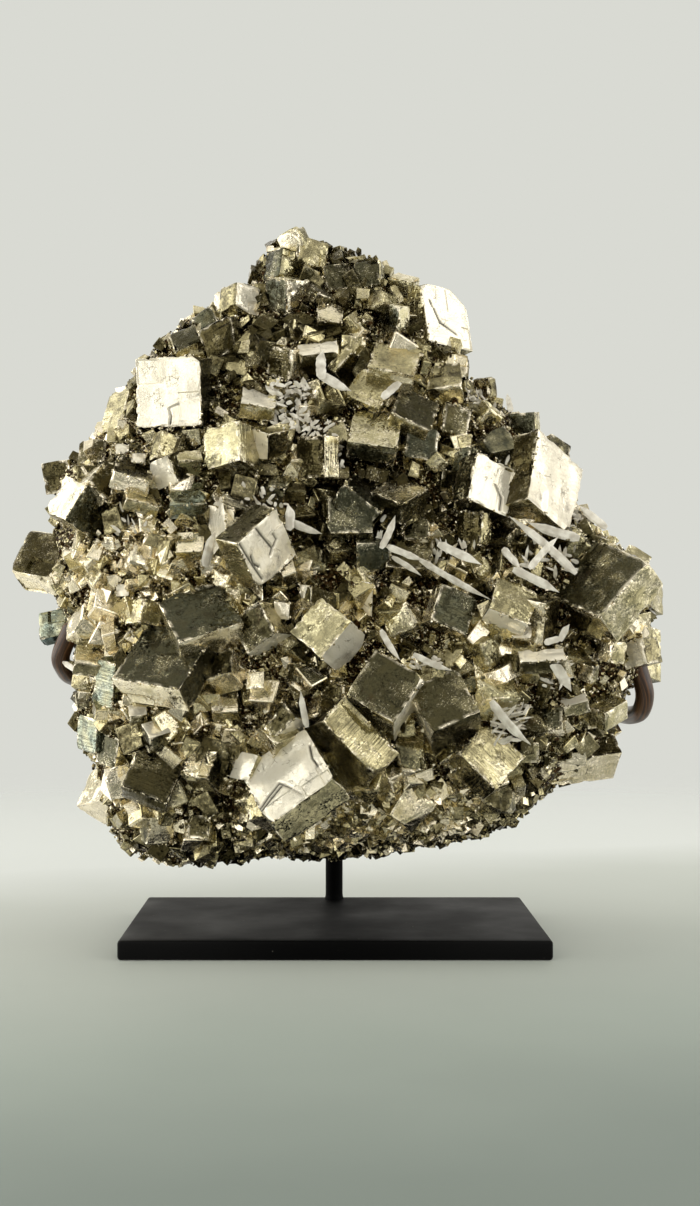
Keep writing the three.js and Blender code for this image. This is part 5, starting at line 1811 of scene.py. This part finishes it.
def scattered_cubes(count, front, crush, seed, crystals, measured, rim_share, sizes, power, lift, tones):
    """
    Cubes scattered over one side of the matrix: size = smallest + (largest - smallest) r^power, at the
    surface plus lift r sizes outwards. Those inside a crystal, in front of a measured face, at an arm or
    out of the CAD box are left out. With crush True only the crushed band has them, and with crush
    False it has none.
    """
    smallest, largest = sizes
    x, z, rho = scattered_places(count, rim_share, seed, crush is True)
    draw = np.random.default_rng(seed + 1)
    places, outward = surface_at(x, z, front)
    number = len(places)
    size = (smallest + (largest - smallest) * draw.uniform(0, 1, number) ** power) * MM
    rim_size = CRUSHED_RIM_SIZE if crush else RIM_SIZE
    size *= 1 - (1 - rim_size) * smooth_step((rho - RIM_STARTS) / (1 - RIM_STARTS))
    raised = draw.uniform(0, 1, number)
    centres = places + outward * (size * lift * raised - SUNK * size)[:, None]
    keep = inside_cad(centres, size * ROOM_TO_BOX)
    keep &= arm_distance(centres) > ROD_RADIUS + ROOM_TO_ARM * size
    keep &= ~inside_any(centres, crystals, BURIED_DEPTH)
    if front:
        keep &= ~hides_face(centres, measured, ROOM_BEFORE_FACE * size)
        keep &= ~shades_face(centres, measured, ROOM_IN_MIRROR * size)
    if crush is not None:
        keep &= in_crush(centres) == crush
    centres = centres[keep]
    axes = random_axes(draw, number)[keep]
    sizes = size[keep, None] * draw.uniform(*PROPORTIONS, (len(centres), 3))
    own_tones = draw.choice(FOUR_TONES, p=tones, size=len(centres))
    # Raised cubes paler, sunk ones darker, and the areas' painted shade and light added.
    own_tones = own_tones + RAISED_TONE * (raised[keep] - 0.5) + shade_of(centres)
    return centres, axes, sizes, np.clip(own_tones, 0, BRIGHTEST_SMALL)


def crumb_places(crystals, seed):
    """
    Places of crumbs along the four edges of each crystal's seen face: uniform along the edge, spread by a
    bell curve around it, and kept in clumps where smooth noise is over a half.
    """
    draw = np.random.default_rng(seed)
    places = []
    for number, crystal in enumerate(crystals):
        half = crystal["sizes"] / 2
        for axis, end in itertools.product((0, 1), (-1, 1)):
            count = int(2 * half[1 - axis] / CRUMB_SPACING)
            local = np.zeros((count, 3))
            local[:, 1 - axis] = draw.uniform(-half[1 - axis], half[1 - axis], count)
            local[:, axis] = end * half[axis] + draw.normal(0, CRUMB_SPREAD, count)
            local[:, 2] = half[2] + draw.normal(0, CRUMB_SPREAD, count)
            clumped = value_noise(local + number * MM, CRUMB_CLUMP, seed) > 0.5
            places.append(to_world(crystal, local[clumped]))
    places = np.concatenate(places)
    room = np.full(len(places), LARGEST_CRUMB)
    keep = inside_cad(places, room) & (arm_distance(places) > ROD_RADIUS + LARGEST_CRUMB)
    keep &= ~inside_any(places, crystals, SMALLEST_CRUMB)
    keep &= matrix_rho(places[:, 0], places[:, 2]) < CRUMBS_END
    return places[keep]


class SPECIMEN_OT_small_crystals(bpy.types.Operator):
    """Scatters the cubes of a few millimetres between the large crystals"""

    bl_idname = "specimen.small_crystals"
    bl_label = "Small crystals"

    def execute(self, context):
        material = made_once(pyrite_grown_faces, context.scene.specimen_pyrite)
        measured, fillers, on_back = all_crystals()
        crystals = measured + fillers + on_back
        for name, front, count, crush, seed in (
            ("small_crystals_front", True, 3400, False, 21), ("small_crystals_back", False, 1300, None, 31),
        ):
            centres, axes, sizes, tones = scattered_cubes(
                count, front, crush, seed, crystals, measured, **SMALL_CUBES,
            )
            striation = SMALL_LINES_SPREAD * chance(np.arange(len(centres)), seed) ** 3
            surface = cube_copies(centres, axes, sizes, tones, striation, SMALL_CUBE_BEVEL, seed)
            specimen_piece(name, surface, material, False)
        return {"FINISHED"}


class SPECIMEN_OT_grains(bpy.types.Operator):
    """Scatters the grains, the flakes of the crushed band, and the crumbs along the crystals' edges"""

    bl_idname = "specimen.grains"
    bl_label = "Grains"

    def execute(self, context):
        settings = context.scene.specimen_pyrite
        granular = made_once(pyrite_granular, settings)
        grown = made_once(pyrite_grown_faces, settings)
        measured, fillers, on_back = all_crystals()
        crystals = measured + fillers + on_back
        for name, front, count, crush, seed, kind, material in (
            ("grains_front", True, 12000, False, 41, GRAINS, granular),
            ("grains_back", False, 6000, None, 51, GRAINS, granular),
            ("grains_crushed", True, 8000, True, 81, FLAKES, grown),
        ):
            cubes = scattered_cubes(count, front, crush, seed, crystals, measured, **kind)
            surface = cube_copies(*cubes, np.zeros(len(cubes[0])), 0, seed)
            specimen_piece(name, surface, material, False)
        for name, edged, seed in (("crumbs_front", measured + fillers, 61), ("crumbs_back", on_back, 71)):
            centres = crumb_places(edged, seed)
            draw = np.random.default_rng(seed)
            spread = draw.uniform(0, 1, len(centres)) ** CRUMB_POWER
            sizes = (SMALLEST_CRUMB + (LARGEST_CRUMB - SMALLEST_CRUMB) * spread)[:, None] * np.ones(3)
            axes = random_axes(draw, len(centres))
            tones = draw.uniform(*CRUMB_GLINT_TONES, len(centres))
            surface = cube_copies(centres, axes, sizes, tones, np.zeros(len(centres)), 0, seed)
            specimen_piece(name, surface, granular, False)
        return {"FINISHED"}


class SPECIMEN_OT_quartz(bpy.types.Operator):
    """Grows the quartz blades, the measured ones and the sprays"""

    bl_idname = "specimen.quartz"
    bl_label = "Quartz"

    def execute(self, context):
        material = milky_quartz(context.scene.specimen_quartz)
        blades = []
        for foot, tip, width in QUARTZ_BLADES.values():
            ends = point_on_matrix([foot, tip])
            ends[:, 1] -= width * MM + QUARTZ_PROUD
            blades.append((*ends, BLADE_TRIM * width * MM))
        for seed, spray in enumerate(QUARTZ_SPRAYS.values()):
            blades += blades_in_spray(*spray, seed)
        parts = [quartz_blade(foot, tip, width, 1000 + i) for i, (foot, tip, width) in enumerate(blades)]
        shift = np.concatenate([[0], np.cumsum([len(part["points"]) for part in parts])[:-1]])
        points = np.concatenate([part["points"] for part in parts])
        quads = np.concatenate([part["quads"] + k for part, k in zip(parts, shift)])
        caps = np.concatenate([part["caps"] + k for part, k in zip(parts, shift)])
        piece = put_mesh("quartz_blades", points, [quads, caps], material, False)
        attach(piece, "root")
        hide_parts("pyrite_cluster")
        return {"FINISHED"}


def soft_box(name, place, target, size, brightness):
    """
    A soft box that the camera doesn't see, facing its target. A lamp of area A and power P has the
    brightness P / (pi A).
    """
    data = bpy.data.lights.new(name, "AREA")
    data.shape = "RECTANGLE"
    data.size, data.size_y = size
    data.energy = brightness * np.pi * data.size * data.size_y
    lamp = bpy.data.objects.new(name, data)
    lamp.location = place
    lamp.rotation_euler = (Vector(target) - Vector(place)).to_track_quat("-Z", "Y").to_euler()
    lamp.visible_camera = False
    bpy.context.scene.collection.objects.link(lamp)


class SPECIMEN_OT_stage(bpy.types.Operator):
    """Makes the table, the room's light, the soft boxes and the camera"""

    bl_idname = "specimen.stage"
    bl_label = "Stage"

    def execute(self, context):
        settings = context.scene.specimen_stage
        self.lay_table()
        self.light_room(settings)
        self.place_camera(context)
        return {"FINISHED"}

    def lay_table(self):
        """The table's top, a flat square far larger than the view."""
        points = TABLE_REACH * np.array([[-1, -1, 0], [1, -1, 0], [1, 1, 0], [-1, 1, 0]])
        put_mesh("table_top", points, [np.array([[0, 1, 2, 3]])], painted_table(), False)

    def light_room(self, settings):
        """
        The room: pale to the camera and on matt surfaces. In mirrors it has darker and brighter walls, in
        smooth noise of the direction, with a glow that grows with Y and towards the left, and upwards
        they turn into one even ceiling. Soft boxes stand round it.
        """
        world = bpy.data.worlds.new("studio")
        world.use_nodes = True
        world.node_tree.nodes.clear()
        bpy.context.scene.world = world
        add = functools.partial(add_node, world.node_tree)
        by_camera = add("LightPath", give="Is Camera Ray")
        by_mirror = by_camera.node.outputs["Is Glossy Ray"]
        direction = add("TexCoord", give="Generated")
        aside = add("SeparateXYZ", {"Vector": direction}, give="X")
        behind = add("MapRange", [aside.node.outputs["Y"], -0.2, 0.8, 0.0, ROOM_GLOW])
        on_left = add("MapRange", [aside, 0.2, -0.8, 0.0, ROOM_GLOW_ON_LEFT])
        upwards = add("MapRange", [aside.node.outputs["Z"], 0.4, 0.85, 0.0, 0.55])
        walls = add("TexNoise", {"Vector": direction, "Scale": 2.3, "Detail": 2.0})
        windows = add("MapRange", [walls, 0.45, 0.56, ROOM_DARK, ROOM_BRIGHT])
        glow = add("Math", [on_left, behind], operation="ADD")
        lit = add("Math", [windows, glow], operation="ADD")
        mirrored = add("Mix", {0: upwards, 2: lit, 3: ROOM_CEILING}, data_type="FLOAT")
        matt = add("Background", {"Color": linear_from_hex(DAYLIGHT_TINT), "Strength": settings.daylight})
        mirror = add("Background", {"Color": linear_from_hex(MIRRORED_TINT), "Strength": mirrored})
        backdrop = add("Background", {"Color": settings.background})
        unseen = add("MixShader", [by_mirror, matt, mirror])
        add("OutputWorld", {"Surface": add("MixShader", [by_camera, unseen, backdrop])})
        for name, place, size, brightness in (
            ("right_box", (0.8, -0.15, 0.35), (0.75, 0.9), 0.84 * settings.right_light),
            ("left_box", (-0.8, -0.1, 0.3), (0.85, 0.95), settings.left_light),
            ("left_front_box", (-0.51, -0.64, 0.18), (0.2, 0.35), settings.left_light),
            ("right_front_box", (0.62, -0.64, 0.29), (0.25, 0.3), 0.5 * settings.right_light),
            ("back_box", (0.25, 0.9, 0.45), (0.5, 0.4), 0.6),
        ):
            soft_box(name, place, LIT_MIDDLE, size, brightness)

    def place_camera(self, context):
        """The camera at the eye that the specimen was measured from, level, looking along +Y."""
        data = bpy.data.cameras.new("camera")
        data.sensor_width = 36
        data.lens = data.sensor_width * PIXELS_PER_UNIT_SLOPE / PICTURE_HEIGHT
        data.shift_x = (PICTURE_WIDTH / 2 - EYE_PIXEL[0]) / PICTURE_HEIGHT
        data.shift_y = (EYE_PIXEL[1] - PICTURE_HEIGHT / 2) / PICTURE_HEIGHT
        data.clip_start = 0.01
        camera = bpy.data.objects.new("camera", data)
        camera.location = EYE
        camera.rotation_euler = (np.pi / 2, 0, 0)
        context.scene.collection.objects.link(camera)
        context.scene.camera = camera
        context.scene.view_settings.view_transform = "Standard"


class SPECIMEN_PT_panel(bpy.types.Panel):
    """Lists the pieces of the specimen"""

    bl_idname = "SPECIMEN_PT_panel"
    bl_label = "Pyrite specimen"
    bl_space_type = "VIEW_3D"
    bl_region_type = "UI"
    bl_category = "Specimen"

    def draw(self, context):
        """One button for each operator, and the settings under them."""
        for operator in OPERATORS:
            self.layout.operator(operator.bl_idname)
        for group in ("specimen_stand", "specimen_pyrite", "specimen_quartz", "specimen_stage"):
            settings = getattr(context.scene, group)
            for name in settings.bl_rna.properties.keys():
                if name not in ("rna_type", "name"):
                    self.layout.prop(settings, name)


OPERATORS = (
    SPECIMEN_OT_stage, SPECIMEN_OT_stand, SPECIMEN_OT_matrix, SPECIMEN_OT_crystals,
    SPECIMEN_OT_small_crystals, SPECIMEN_OT_grains, SPECIMEN_OT_quartz,
)
SETTINGS = {
    "specimen_stand": StandSettings, "specimen_pyrite": PyriteSettings,
    "specimen_quartz": QuartzSettings, "specimen_stage": StageSettings,
}


def register():
    """Registers the settings, the operators and the panel."""
    for name, group in SETTINGS.items():
        bpy.utils.register_class(group)
        setattr(bpy.types.Scene, name, bpy.props.PointerProperty(type=group))
    for operator in OPERATORS:
        bpy.utils.register_class(operator)
    bpy.utils.register_class(SPECIMEN_PT_panel)


def unregister():
    """Takes back what register did, in the other order."""
    bpy.utils.unregister_class(SPECIMEN_PT_panel)
    for operator in reversed(OPERATORS):
        bpy.utils.unregister_class(operator)
    for name, group in reversed(SETTINGS.items()):
        delattr(bpy.types.Scene, name)
        bpy.utils.unregister_class(group)


def main():
    """Registers the classes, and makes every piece."""
    register()
    bpy.ops.specimen.stage()
    bpy.ops.specimen.stand()
    bpy.ops.specimen.matrix()
    bpy.ops.specimen.crystals()
    bpy.ops.specimen.small_crystals()
    bpy.ops.specimen.grains()
    bpy.ops.specimen.quartz()


if __name__ == "__main__":
    main()
